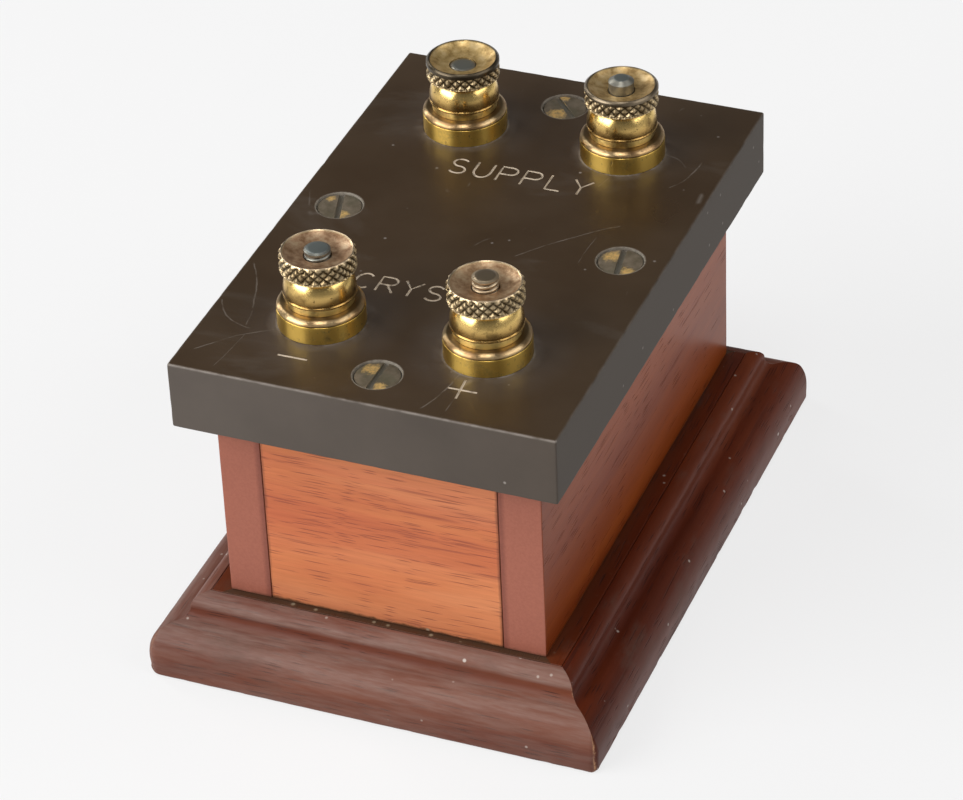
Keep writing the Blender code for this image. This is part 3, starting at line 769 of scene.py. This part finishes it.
def thumb_nut(place):
    """A knurled head with a dished top, over a polished dome that ends in a thin lip."""
    depth, smooth, golden = DISHES[place]
    rim, knurl_top = 5.5, NUT_TOP - 0.12 - smooth

    def surface(radius, height, turn):
        """Cuts the knurl, and marks where the knurl's grime, the head and the dish are."""
        above = height > HEAD_FOOT * MM
        head = (radius > (HEAD_RADIUS - 0.6) * MM) & above
        knurled = (radius > (rim + 0.08) * MM) & above
        fade = np.minimum(height - (HEAD_FOOT + 0.02) * MM, knurl_top * MM - height) / (0.2 * MM)
        points = np.stack([radius * np.cos(turn), radius * np.sin(turn), height], axis=-1) / MM
        near = zip(points.reshape(-1, 3), head.ravel())
        rough = np.array([noise.noise(point) if marked else 0.0 for point, marked in near])
        rough = rough.reshape(radius.shape)
        drift = 0.16 * MM * rough
        tip = np.clip(knurl_height(turn, height + drift) * (1.15 + 0.7 * rough), 0.0, 1.0) ** 0.7
        groove = (1.0 - tip) * knurled * np.clip(fade, 0.0, 1.0)
        dish = (radius < (rim - 0.05) * MM) & above
        edge = head & ~dish & (height > (knurl_top - 0.1) * MM)
        marks = {"groove": groove, "head": head & ~dish & ~edge, "dish": dish, "rim": edge}
        marks["golden"] = np.full_like(groove, golden)
        return radius - groove * KNURL_DEPTH * (1.0 + 0.8 * rough), height, marks

    outline = []
    for share in np.linspace(0.0, 1.0, 16):
        outline.append((BORE + (rim - BORE) * share, NUT_TOP - 0.05 - depth * (1.0 - share**2.4)))
    outline += [(rim + 0.05, NUT_TOP - 0.01), (rim + 0.1, NUT_TOP), (rim + 0.16, NUT_TOP - 0.04)]
    outline += divided([(HEAD_RADIUS - 0.02, NUT_TOP - 0.32), (HEAD_RADIUS, HEAD_FOOT + 0.06)], 0.07)
    neck = ((5.98, 0.0), (5.7, 0.05), (5.0, 0.12), (4.2, 0.18))
    outline += [(x, HEAD_FOOT - drop) for x, drop in neck]
    for step in range(DOME_STEPS, -1, -1):
        turn = math.radians(72.0) * step / DOME_STEPS
        outline.append((3.2 + 2.55 * math.cos(turn), NUT_FOOT + 0.62 + 4.05 * math.sin(turn)))
    lip = ((5.68, 0.52), (5.62, 0.44), (5.68, 0.38), (5.78, 0.3), (5.8, 0.2), (5.78, 0.08), (5.7, 0.0))
    outline += [(x, NUT_FOOT + rise) for x, rise in (*lip, (4.0, 0.0), (BORE, 0.0))]
    on_post(place, "thumb_nut_turned", "thumb_nut", in_metres(outline), NUT_FACETS, 60.0, change=surface)


def stud(place):
    """A threaded stud: the thread is cut from the panel's top to the stud's plain end."""
    low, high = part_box("stud_" + place)
    radius = (high.x - low.x) / 2
    top, foot = high.z - PANEL_TOP, low.z - PANEL_TOP
    *lengths, grey = STUD_ENDS[place]
    flat, chamfer, plain = (length * MM for length in lengths)

    def surface(wide, height, turn):
        phase = (height / THREAD_PITCH - turn / TAU) % 1.0
        crest = np.clip((1.0 - np.abs(2.0 * phase - 1.0)) * 1.5, 0.0, 1.0)
        threaded = (height > -0.2 * MM) & (wide > flat)
        cut = (1.0 - crest) * threaded * np.clip((top - plain - height) / (0.2 * MM), 0.0, 1.0)
        end = (wide <= flat) & (height > top - 0.2 * MM)
        return wide - cut * THREAD_DEPTH, height, {"groove": cut, "grey": np.full_like(cut, grey), "end": end}

    outline = [(0.0, top), (flat * 0.7, top), (flat, top - 0.03 * MM)]
    outline += divided([(flat + 0.06 * MM, top - 0.08 * MM), (radius, top - chamfer)], 0.1 * MM)
    outline += divided([(radius, top - chamfer - 0.05 * MM), (radius, -0.3 * MM)], 0.08 * MM)
    outline += [(radius, foot + 0.4 * MM), (radius - 0.4 * MM, foot), (0.0, foot)]
    on_post(place, "threaded_stud", "stud", outline, STUD_FACETS, 50.0, closed=False, change=surface)


# Materials of this object

POST_MARKS = [post_place(place) for place in PLACES]
SCREW_MARKS = [screw_place("panel_screw_" + side)[0] for side in SIDES]
SCORED = (  # long scratches on the panel: from, to, and how far they bow, in millimetres from its middle
    ((-29.5, -44.0), (-16.5, -33.5), 1.2),
    ((-31.0, -30.0), (-23.5, -36.0), -1.5),
    ((-30.5, -19.0), (-24.5, -35.5), 1.0),
    ((12.0, -33.0), (9.5, -47.5), 0.8),
    ((24.5, 22.0), (27.0, 31.0), -0.8),
    ((8.0, -4.5), (21.0, 9.0), 0.6),
)


def near_marks(s, marks, full, none):
    """1 within full millimetres of any of the marks, fading to 0 at none."""
    gaps = []
    for mark in marks:
        gap = s.node("VectorMath", {"operation": "DISTANCE"}, Vector=s.local())
        gap.inputs[1].default_value = mark
        gaps.append(gap.outputs["Value"])
    return s.fade(s.least(*gaps), full * MM, none * MM)


def specks(s, scale, size, empty):
    """Small dots. Empty is the share of the places for them that stay empty."""
    distance, pick = s.cells(s.place(scale))
    return s.times(s.fade(distance, size * 0.5, size), s.maths("GREATER_THAN", pick, empty))


def scored_lines(s):
    """Thin lines along the long scratches, broken up by noise."""
    x, y = s.axis("X"), s.axis("Y")
    lines = []
    for start, end, bow in SCORED:
        start, end = Vector(start) * MM, Vector(end) * MM
        along = (end - start).normalized()
        run = s.minus(s.plus(s.times(x, along.x), s.times(y, along.y)), start.dot(along))
        side = s.minus(s.times(y, along.x), s.times(x, along.y))
        side = s.minus(side, start.y * along.x - start.x * along.y)
        share = s.band(run, 0.0, (end - start).length)
        arch = s.times(share, s.inverse(share), 4.0 * bow * MM)
        wander = s.times(s.minus(s.cloud(180), 0.5), 0.9 * MM)
        away = s.absolute(s.minus(side, s.plus(arch, wander)))
        within = s.times(s.band(share, 0.0, 0.02), s.fade(share, 0.98, 1.0))
        lines.append(s.times(s.fade(away, 0.05 * MM, 0.16 * MM), within))
    return s.times(s.most(*lines), s.band(s.cloud(350, 3.0, 0.6), 0.36, 0.58))


def scratches(s):
    """Thin curved and straight lines, here and there."""
    lines = []
    for turn, scale, where in ((0.5, 45.0, 0.0), (-0.9, 60.0, 3.1)):
        stretch = (scale, scale * 0.35, scale)
        level = s.cloud(stretch, 1.0, 0.4, turn=(0.0, 0.0, turn), shift=(where, 0.0, 0.0))
        thin = s.fade(s.absolute(s.minus(level, 0.5)), 0.0, 0.0024)
        lines.append(s.times(thin, s.band(s.cloud(80, 3.0, 0.7, shift=(where, 1.0, 0.0)), 0.58, 0.64)))
    return s.most(*lines)


def panel_edge(s):
    """1 on the worn line along the panel's top edges."""
    insets = [s.minus(half, s.absolute(s.axis(letter))) for letter, half in zip("XY", PANEL_HIGH)]
    at_side = s.fade(s.least(*insets), 0.1 * MM, 0.42 * MM)
    return s.times(at_side, s.band(s.axis("Z"), PANEL_TOP - 0.4 * MM, PANEL_TOP - 0.12 * MM))


def ebonite():
    """Brown-black ebonite with a dusty bloom round the posts, scratches, specks and paler sawn sides; painted
    shade darkens the sides towards the right end and on the right face.
    """
    s = Shader("ebonite", Specular_IOR_Level=0.42)
    top, right = (s.band(s.facing(letter), 0.5, 0.95) for letter in "ZX")
    cloud = s.cloud(28, 4.0, 0.6)
    face = s.mix(s.band(cloud, 0.3, 0.7), (0.038, 0.0212, 0.009), (0.058, 0.037, 0.0205))
    patchy = s.band(s.cloud(60, 4.0, 0.6), 0.3, 0.7)
    # Painted shade: the sides' colour darkens from the left end to the right end.
    side_painted_lit_left = s.mix(patchy, (0.07, 0.055, 0.044), (0.088, 0.07, 0.056))
    side_painted_shade_right = s.mix(patchy, (0.05, 0.037, 0.026), (0.066, 0.049, 0.036))
    side = s.mix(s.band(s.axis("X"), -PANEL_HIGH.x, PANEL_HIGH.x), side_painted_lit_left, side_painted_shade_right)
    # Painted shade: the right face gets a darker copy of the side colour.
    s.colour = s.mix(top, s.mix(right, side, (0.043, 0.03, 0.019)), face)
    smear = s.band(s.cloud((26, 60, 40), 5.0, 0.65, 0.5, turn=(0.0, 0.0, 0.6)), 0.56, 0.78)
    s.paint((0.125, 0.108, 0.092), smear, top, 0.45)
    haze = s.times(near_marks(s, POST_MARKS, 7.3, 8.8), s.band(s.cloud(240, 4.0, 0.7), 0.4, 0.66))
    s.paint((0.19, 0.17, 0.155), haze, 0.35)
    ring = s.band(s.cloud(160, 4.0, 0.7), 0.42, 0.58)
    s.paint((0.25, 0.23, 0.2), near_marks(s, POST_MARKS, 7.05, 7.35), ring, 0.75)
    s.paint((0.11, 0.1, 0.095), near_marks(s, POST_MARKS, 8.0, 14.0), s.band(cloud, 0.35, 0.6), 0.22)
    # Painted pale inside the screw hollows: partly dusty, partly a painted highlight of their lit bevels.
    hollow = near_marks(s, SCREW_MARKS, 3.9, 4.1)
    dust_and_sheen_share = s.band(s.cloud(700, 3.0, 0.7), 0.4, 0.66)
    s.paint((0.25, 0.22, 0.175), hollow, s.scaled(dust_and_sheen_share, 0.5, 0.4))
    scratch = s.times(scratches(s), top)
    s.paint((0.19, 0.165, 0.14), scratch, 0.45)
    line = s.times(scored_lines(s), top)
    s.paint((0.22, 0.19, 0.16), line, 0.42)
    speck = s.most(specks(s, 150.0, 0.045, 0.86), s.times(specks(s, 420.0, 0.13, 0.93), 0.6))
    s.paint((0.3, 0.27, 0.24), speck, 0.75)
    bare = s.band(s.cloud(260), 0.3, 0.58)
    at_ends = s.band(s.absolute(s.axis("Y")), PANEL_HIGH.y - 0.6 * MM, PANEL_HIGH.y - 0.4 * MM)
    s.paint((0.3, 0.26, 0.225), panel_edge(s), bare, s.scaled(at_ends, 0.42, 0.16))
    rough = s.mix(s.band(cloud, 0.3, 0.75), 0.27, 0.36)
    rough = s.mix(s.most(haze, hollow, s.inverse(top)), rough, 0.66)
    normal = s.bump(s.cloud(420, 3.0, 0.6), 0.01 * MM)
    return s.finish(rough, s.bump(s.times(s.most(scratch, line), -1.0), 0.02 * MM, normal))


def wood(name, light, mid, dark, pore, end, gloss, rough, pore_share, shine):
    """Mahogany with its grain along the piece's own X axis. Faces across that axis show end grain."""
    s = Shader(name, Coat_Weight=gloss, Coat_Roughness=0.25, Specular_IOR_Level=shine)
    long_grain = s.fade(s.absolute(s.facing("X")), 0.6, 0.85)
    figure = s.cloud((8, 70, 70), 4.0, 0.55, 0.6)
    s.colour = s.ramp(figure, (0.3, dark), (0.5, mid), (0.68, light))
    fibre = s.cloud((120, 2600, 2600), 3.0, 0.65)
    s.paint(s.mix(0.6, s.colour, (0.45, 0.42, 0.42), "MULTIPLY"), s.band(fibre, 0.3, 0.7), 0.42)
    bands = s.band(s.cloud((7, 150, 150), 3.0, 0.6), 0.46, 0.64)
    bent = s.node("VectorMath", {"operation": "ADD"}, Vector=s.place((150, 3900, 3900)))
    s.join(bent.inputs[1], s.times(s.cloud(70, 2.0, 0.5), 3.4))
    distance, pick = s.cells(bent.outputs[0])
    picked = s.maths("GREATER_THAN", s.plus(pick, s.times(bands, 0.45)), 1.0 - pore_share)
    short = s.times(s.fade(distance, 0.16, 0.4), picked)
    long = s.times(s.band(s.cloud((45, 1500, 1500), 2.0, 0.5), 0.62, 0.72), bands, 0.8)
    pores = s.times(s.most(short, long), long_grain)
    s.paint(s.tinted(s.colour, (0.84, 0.66, 0.74)), bands, 0.6)
    s.paint(pore, pores, 0.68)
    dots = s.band(s.cloud((700, 2600, 2600), 2.0, 0.6), 0.38, 0.62)
    sawn = s.mix(dots, tuple(0.91 * value for value in end), end)
    s.colour = s.mix(long_grain, sawn, s.colour)
    normal = s.bump(s.times(pores, -1.0), 0.04 * MM, s.bump(fibre, 0.012 * MM))
    return s, s.mix(pores, rough, 0.75), normal


def wall_dirt_and_shade(s, dirty, shaded):
    """Dirt and a little old glue along a wall's foot, and painted shade that darkens the wall towards its
    foot.
    """
    height = s.axis("Z")
    ragged = s.times(s.cloud(330, 4.0, 0.65), 1.6 * MM)
    dirt = s.fade(s.minus(height, ragged), BASE_HEIGHT - 0.55 * MM, BASE_HEIGHT - 0.15 * MM)
    s.paint((0.055, 0.03, 0.015), dirt, dirty)
    s.paint((0.46, 0.38, 0.26), dirt, specks(s, 420.0, 0.2, 0.72), 0.8)
    # Painted shade: the wall is darkened for 9 mm above the base.
    shade = s.fade(height, BASE_HEIGHT, BASE_HEIGHT + 9.0 * MM)
    s.paint(s.tinted(s.colour, (0.66, 0.62, 0.64)), shade, shaded)


def mahogany_front():
    """Front and back walls, with a dark line of polish where they meet the side walls."""
    s, rough, normal = wood(
        "mahogany_front",
        light=(0.66, 0.242, 0.1),
        mid=(0.6, 0.19, 0.07),
        dark=(0.51, 0.132, 0.052),
        pore=(0.19, 0.048, 0.036),
        end=(0.33, 0.12, 0.08),
        gloss=0.12,
        rough=0.5,
        pore_share=0.3,
        shine=0.2,
    )
    ragged = s.times(s.cloud(240, 3.0, 0.6), 0.8 * MM)
    inset = s.minus(JOINT_X, s.absolute(s.axis("X")))
    s.paint((0.15, 0.042, 0.022), s.fade(s.plus(inset, ragged), 0.45 * MM, 0.95 * MM), 0.75)
    wall_dirt_and_shade(s, 0.85, 0.45)
    return s.finish(rough, normal)


def mahogany_side():
    """Side walls, whose own X axis runs along the box, so that their ends are end grain. Their long grain is
    darker than the front walls', partly its own tone and partly painted shade.
    """
    s, rough, normal = wood(
        "mahogany_side",
        # Partly painted shade: these long-grain colours are far darker than the front walls', though the end
        # grain matches them.
        light=(0.262, 0.056, 0.008),
        mid=(0.205, 0.039, 0.006),
        dark=(0.148, 0.025, 0.005),
        pore=(0.055, 0.012, 0.006),
        end=(0.335, 0.115, 0.076),
        gloss=0.2,
        rough=0.36,
        pore_share=0.14,
        shine=0.06,
    )
    outset = s.minus(s.absolute(s.axis("Y")), JOINT_X)
    s.paint(s.tinted(s.colour, (0.52, 0.46, 0.5)), s.fade(outset, 0.5 * MM, 1.2 * MM), 0.6)
    wall_dirt_and_shade(s, 0.45, 0.15)
    return s.finish(rough, normal)


def mahogany_base():
    """Board and moulding, with a dusty layer and painted sheen except in the cove, soot beside the case, and
    paint specks.
    """
    s, rough, normal = wood(
        "mahogany_base",
        light=(0.145, 0.03, 0.008),
        mid=(0.104, 0.019, 0.005),
        dark=(0.066, 0.012, 0.004),
        pore=(0.022, 0.005, 0.003),
        end=(0.15, 0.05, 0.03),
        gloss=0.07,
        rough=0.44,
        pore_share=0.22,
        shine=0.13,
    )
    height = s.axis("Z")
    # A pale layer that is partly dusty and partly painted sheen: strongest on the lit sides and the upper
    # faces, faint in the cove.
    uneven = s.scaled(s.band(s.cloud((30, 200, 200), 5.0, 0.7), 0.3, 0.62), 0.55, 0.45)
    grain = s.scaled(s.band(s.cloud((110, 1000, 1000), 3.0, 0.7), 0.36, 0.62), 0.55, 0.62)
    towards_top = s.scaled(s.band(height, 4.5 * MM, 8.0 * MM), 0.5, 0.5)
    past_cove = s.scaled(s.band(s.absolute(s.minus(height, 10.1 * MM)), 0.5 * MM, 1.2 * MM), 0.85, 0.15)
    dust_and_sheen = s.times(s.attribute("dust_and_sheen_share"), towards_top, uneven, grain, past_cove)
    s.paint((0.275, 0.19, 0.16), dust_and_sheen, 0.55)
    case = (CASE_HALF_Y, CASE_HALF_X)  # the board's own X axis runs along the box
    gaps = [s.minus(s.absolute(s.axis(letter)), half) for letter, half in zip("XY", case)]
    ragged = s.times(s.cloud(260, 4.0, 0.7), 2.6 * MM)
    near = s.fade(s.minus(s.most(*gaps), ragged), -0.6 * MM, 0.9 * MM)
    at_side = s.maths("GREATER_THAN", gaps[1], gaps[0])
    soot = s.times(s.attribute("grimy"), s.scaled(near, 0.65, 0.25), s.inverse(s.times(at_side, 0.78)))
    s.paint((0.058, 0.031, 0.017), soot)
    s.paint((0.36, 0.3, 0.2), soot, specks(s, 500.0, 0.22, 0.8), 0.6)
    grime = s.band(s.cloud((70, 160, 160), 5.0, 0.7), 0.56, 0.74)
    s.paint((0.085, 0.055, 0.042), grime, 0.4)
    speck = s.most(specks(s, 190.0, 0.07, 0.68), s.times(specks(s, 520.0, 0.16, 0.88), 0.55))
    s.paint((0.56, 0.5, 0.44), speck, 0.85)
    s.paint((0.46, 0.17, 0.05), specks(s, 120.0, 0.05, 0.88))
    s.paint((0.46, 0.25, 0.13), s.attribute("mitre"), s.band(s.cloud(900, 3.0, 0.6), 0.4, 0.56))
    return s.finish(s.mix(s.most(grime, dust_and_sheen), rough, 0.58), normal)


def brass(name, clean, tarnish, cleanliness, rough, streaked):
    s = Shader(name, Metallic=1.0, Anisotropic=streaked, Anisotropic_Rotation=0.25)
    tangent = s.node("Tangent", {"direction_type": "RADIAL", "axis": "Z"})
    s.join(s.surface.inputs["Tangent"], tangent.outputs[0])
    cloud = s.cloud(240, 5.0, 0.65)
    spots = s.band(s.cloud(1100, 4.0, 0.7), 0.6, 0.68)
    dirt = s.most(s.band(cloud, cleanliness, cleanliness + 0.2), s.times(spots, 0.75))
    s.colour = s.mix(dirt, clean, tarnish)
    normal = s.bump(s.cloud((40, 40, 7000), 2.0, 0.5), 0.0008 * MM)
    normal = s.bump(s.times(spots, -1.0), 0.012 * MM, normal)
    return s, s.mix(dirt, rough, 0.5), normal, cloud


def post_brass():
    """Drum and washer, with a pale bead above a dark groove."""
    s, rough, normal, cloud = brass("post_brass", (0.7, 0.46, 0.105), (0.22, 0.14, 0.055), 0.55, 0.33, 0.9)
    height = s.axis("Z")
    drum = s.maths("LESS_THAN", height, (COLLAR_TOP + 0.01) * MM)
    bead = s.times(s.band(height, 3.1 * MM, 3.25 * MM), drum)
    s.paint(s.mix(s.band(cloud, 0.38, 0.6), (0.66, 0.5, 0.3), (0.46, 0.28, 0.15)), bead, 0.8)
    s.paint((0.3, 0.2, 0.09), bead, s.fade(s.radius(), 6.15 * MM, 6.4 * MM))
    washer = s.mix(s.band(cloud, 0.45, 0.6), (0.78, 0.57, 0.2), (0.36, 0.24, 0.09))
    s.colour = s.mix(drum, washer, s.colour)
    groove = s.maths("LESS_THAN", s.absolute(s.minus(height, 3.16 * MM)), 0.07 * MM)
    s.paint((0.06, 0.035, 0.015), groove, 0.8)
    return s.finish(rough, normal)


def nut_brass():
    """A golden dome with painted shade that darkens it downwards, under a worn head with grimy knurls and a
    mottled dish.
    """
    s, rough, normal, cloud = brass("nut_brass", (0.86, 0.6, 0.21), (0.18, 0.11, 0.04), 0.5, 0.24, 0.5)
    head, dish, rim, golden = (s.attribute(name) for name in ("head", "dish", "rim", "golden"))
    # Painted shade: the dome's lower part is darkened, in place of its reflection of the dark panel.
    low = s.fade(s.axis("Z"), (NUT_FOOT + 1.2) * MM, (NUT_FOOT + 3.1) * MM)
    s.paint(s.tinted(s.colour, (0.4, 0.34, 0.3)), low, 0.9)
    s.paint(s.mix(s.band(cloud, 0.35, 0.65), (0.34, 0.245, 0.125), (0.54, 0.42, 0.25)), head)
    s.paint((0.058, 0.038, 0.016), s.band(s.attribute("groove"), 0.3, 0.85))
    mottle = s.cloud(700, 4.0, 0.65)
    coppers = ((0.27, 0.15, 0.075), (0.43, 0.265, 0.15), (0.54, 0.39, 0.24))
    golds = ((0.36, 0.23, 0.08), (0.55, 0.38, 0.15), (0.66, 0.49, 0.24))
    copper, gold = (s.ramp(mottle, *zip((0.36, 0.5, 0.64), colours)) for colours in (coppers, golds))
    s.paint(s.mix(golden, copper, gold), dish)
    s.paint(s.mix(golden, (0.66, 0.52, 0.35), (0.095, 0.075, 0.05)), rim)
    s.join(s.surface.inputs["Metallic"], s.inverse(s.plus(s.times(dish, 0.32), s.times(head, 0.12))))
    rough = s.mix(s.most(dish, head, rim), rough, 0.38)
    return s.finish(rough, s.bump(s.times(mottle, dish), 0.02 * MM, normal))


def stud_brass():
    s = Shader("stud_brass", Metallic=0.9)
    cloud = s.cloud(600, 4.0, 0.6)
    patchy = s.band(cloud, 0.35, 0.65)
    grey = s.attribute("grey")
    yellow_side = s.mix(patchy, (0.56, 0.44, 0.29), (0.4, 0.3, 0.19))
    grey_side = s.mix(patchy, (0.3, 0.3, 0.26), (0.2, 0.2, 0.175))
    s.colour = s.mix(grey, yellow_side, grey_side)
    s.paint(s.mix(grey, (0.26, 0.2, 0.13), (0.29, 0.32, 0.3)), s.attribute("end"))
    s.paint((0.1, 0.07, 0.045), s.band(s.attribute("groove"), 0.3, 0.9))
    return s.finish(s.mix(cloud, 0.34, 0.48), s.bump(cloud, 0.02 * MM))


def screw_brass():
    """Dull brass with dusty tarnish and a dusty slot, where patches have been rubbed bright."""
    s = Shader("screw_brass", Metallic=0.45)
    cloud = s.cloud(520, 4.0, 0.6)
    s.colour = s.mix(s.band(cloud, 0.35, 0.65), (0.205, 0.163, 0.115), (0.12, 0.096, 0.06))
    green = s.band(s.cloud(330, 3.0, 0.6, shift=(4.0, 0.0, 0.0)), 0.52, 0.66)
    s.paint((0.13, 0.12, 0.075), green, 0.5)
    rubbed = s.attribute("rubbed")
    ragged = s.times(s.minus(s.cloud(1300, 4.0, 0.7), 0.5), 2.2)
    bright = s.times(s.band(s.plus(rubbed, ragged), 0.35, 1.15), s.maths("GREATER_THAN", rubbed, 0.02))
    s.paint((0.74, 0.48, 0.17), bright)
    slot = s.maths("LESS_THAN", s.absolute(s.axis("Y")), 0.47 * MM)
    deep = s.maths("LESS_THAN", s.axis("Z"), -0.3 * MM)
    s.paint((0.18, 0.165, 0.13), slot, deep, s.band(cloud, 0.32, 0.58))
    return s.finish(s.mix(bright, 0.55, 0.36), s.bump(cloud, 0.03 * MM))


def engraving_paint():
    s = Shader("engraving_paint")
    wear = s.band(s.cloud(900, 4.0, 0.6), 0.55, 0.68)
    s.colour = s.mix(wear, (0.46, 0.38, 0.285), (0.18, 0.14, 0.1))
    return s.finish(s.mix(wear, 0.6, 0.4))


def tinned_copper():
    s = Shader("tinned_copper", Metallic=1.0)
    cloud = s.cloud(500, 4.0, 0.6)
    copper, tin, tarnish = (0.56, 0.36, 0.24), (0.55, 0.5, 0.45), (0.35, 0.3, 0.26)
    s.colour = s.ramp(cloud, (0.35, copper), (0.55, tin), (0.7, tarnish))
    return s.finish(s.mix(cloud, 0.3, 0.5), s.bump(cloud, 0.02 * MM))


def cotton_covering():
    """Turns of cotton-covered wire, one above the other."""
    s = Shader("cotton_covering", Sheen_Weight=0.3)
    turns = s.maths("PINGPONG", s.times(s.axis("Z"), 1.0 / (0.45 * MM)), 0.5)
    fuzz = s.cloud((2500, 2500, 4000), 3.0, 0.7)
    # Painted shade: each turn is darker towards the creases between turns.
    s.colour = s.mix(s.band(turns, 0.0, 0.3), (0.05, 0.07, 0.035), (0.19, 0.23, 0.125))
    s.paint((0.3, 0.33, 0.22), fuzz, 0.4)
    normal = s.bump(s.maths("SQRT", turns), 0.2 * MM)
    return s.finish(0.85, s.bump(fuzz, 0.03 * MM, normal))


def red_fibre():
    s = Shader("red_fibre")
    layers = s.cloud((60, 60, 4000), 3.0, 0.6)
    cloud = s.cloud(200, 4.0, 0.6)
    s.colour = s.mix(s.band(cloud, 0.3, 0.7), (0.3, 0.062, 0.034), (0.22, 0.045, 0.028))
    s.paint((0.4, 0.12, 0.08), layers, 0.4)
    return s.finish(s.mix(cloud, 0.5, 0.7), s.bump(layers, 0.02 * MM))


def waxed_mica():
    s = Shader("waxed_mica", Coat_Weight=0.3)
    leaves = s.cloud((80, 80, 9000), 2.0, 0.5)
    cloud = s.cloud(240, 5.0, 0.65)
    light, mid, dark = (0.5, 0.4, 0.24), (0.4, 0.3, 0.16), (0.24, 0.16, 0.08)
    s.colour = s.ramp(cloud, (0.3, light), (0.55, mid), (0.75, dark))
    s.paint((0.18, 0.13, 0.07), leaves, 0.5)
    return s.finish(s.mix(cloud, 0.3, 0.55), s.bump(leaves, 0.03 * MM))


def floor_paper():
    s = Shader("floor_paper", Roughness=0.9, Emission_Color=(1.0, 1.0, 1.0, 1.0), Emission_Strength=0.735)
    s.colour = s.mix(s.cloud(60, 3.0, 0.6), 0.16, 0.164)
    return s.finish()


WOODS = (mahogany_front, mahogany_side, mahogany_base)
METALS = (post_brass, nut_brass, stud_brass, screw_brass, tinned_copper)
MAKERS = (*WOODS, *METALS, ebonite, engraving_paint, cotton_covering, red_fibre, waxed_mica, floor_paper)
MATERIALS = {maker.__name__: maker() for maker in MAKERS}


# The scene


def paper_floor():
    size = 4.0
    corners = [(-size, -size, 0.0), (size, -size, 0.0), (size, size, 0.0), (-size, size, 0.0)]
    floor = new_object("paper_floor", corners, [[0, 1, 2, 3]])
    floor.data.materials.append(MATERIALS["floor_paper"])


def finish_cad_nodes():
    """The CAD nodes that stay as they are get the same materials as the pieces."""
    for node, obj in frame["nodes"].items():
        for material_slot in obj.material_slots:
            material_slot.material = MATERIALS[SLOT_OF[node]]


place_camera()
light_studio()
paper_floor()
finish_cad_nodes()
base_board()
for side in SIDES:
    moulding(side)
walls()
panel()
for node in sorted(frame["nodes"]):
    if node.startswith(("panel_screw_", "base_screw_")):
        wood_screw(node)
for place in PLACES:
    collar(place)
    clamp_washer(place)
    thumb_nut(place)
    stud(place)

bpy.context.view_layer.update()
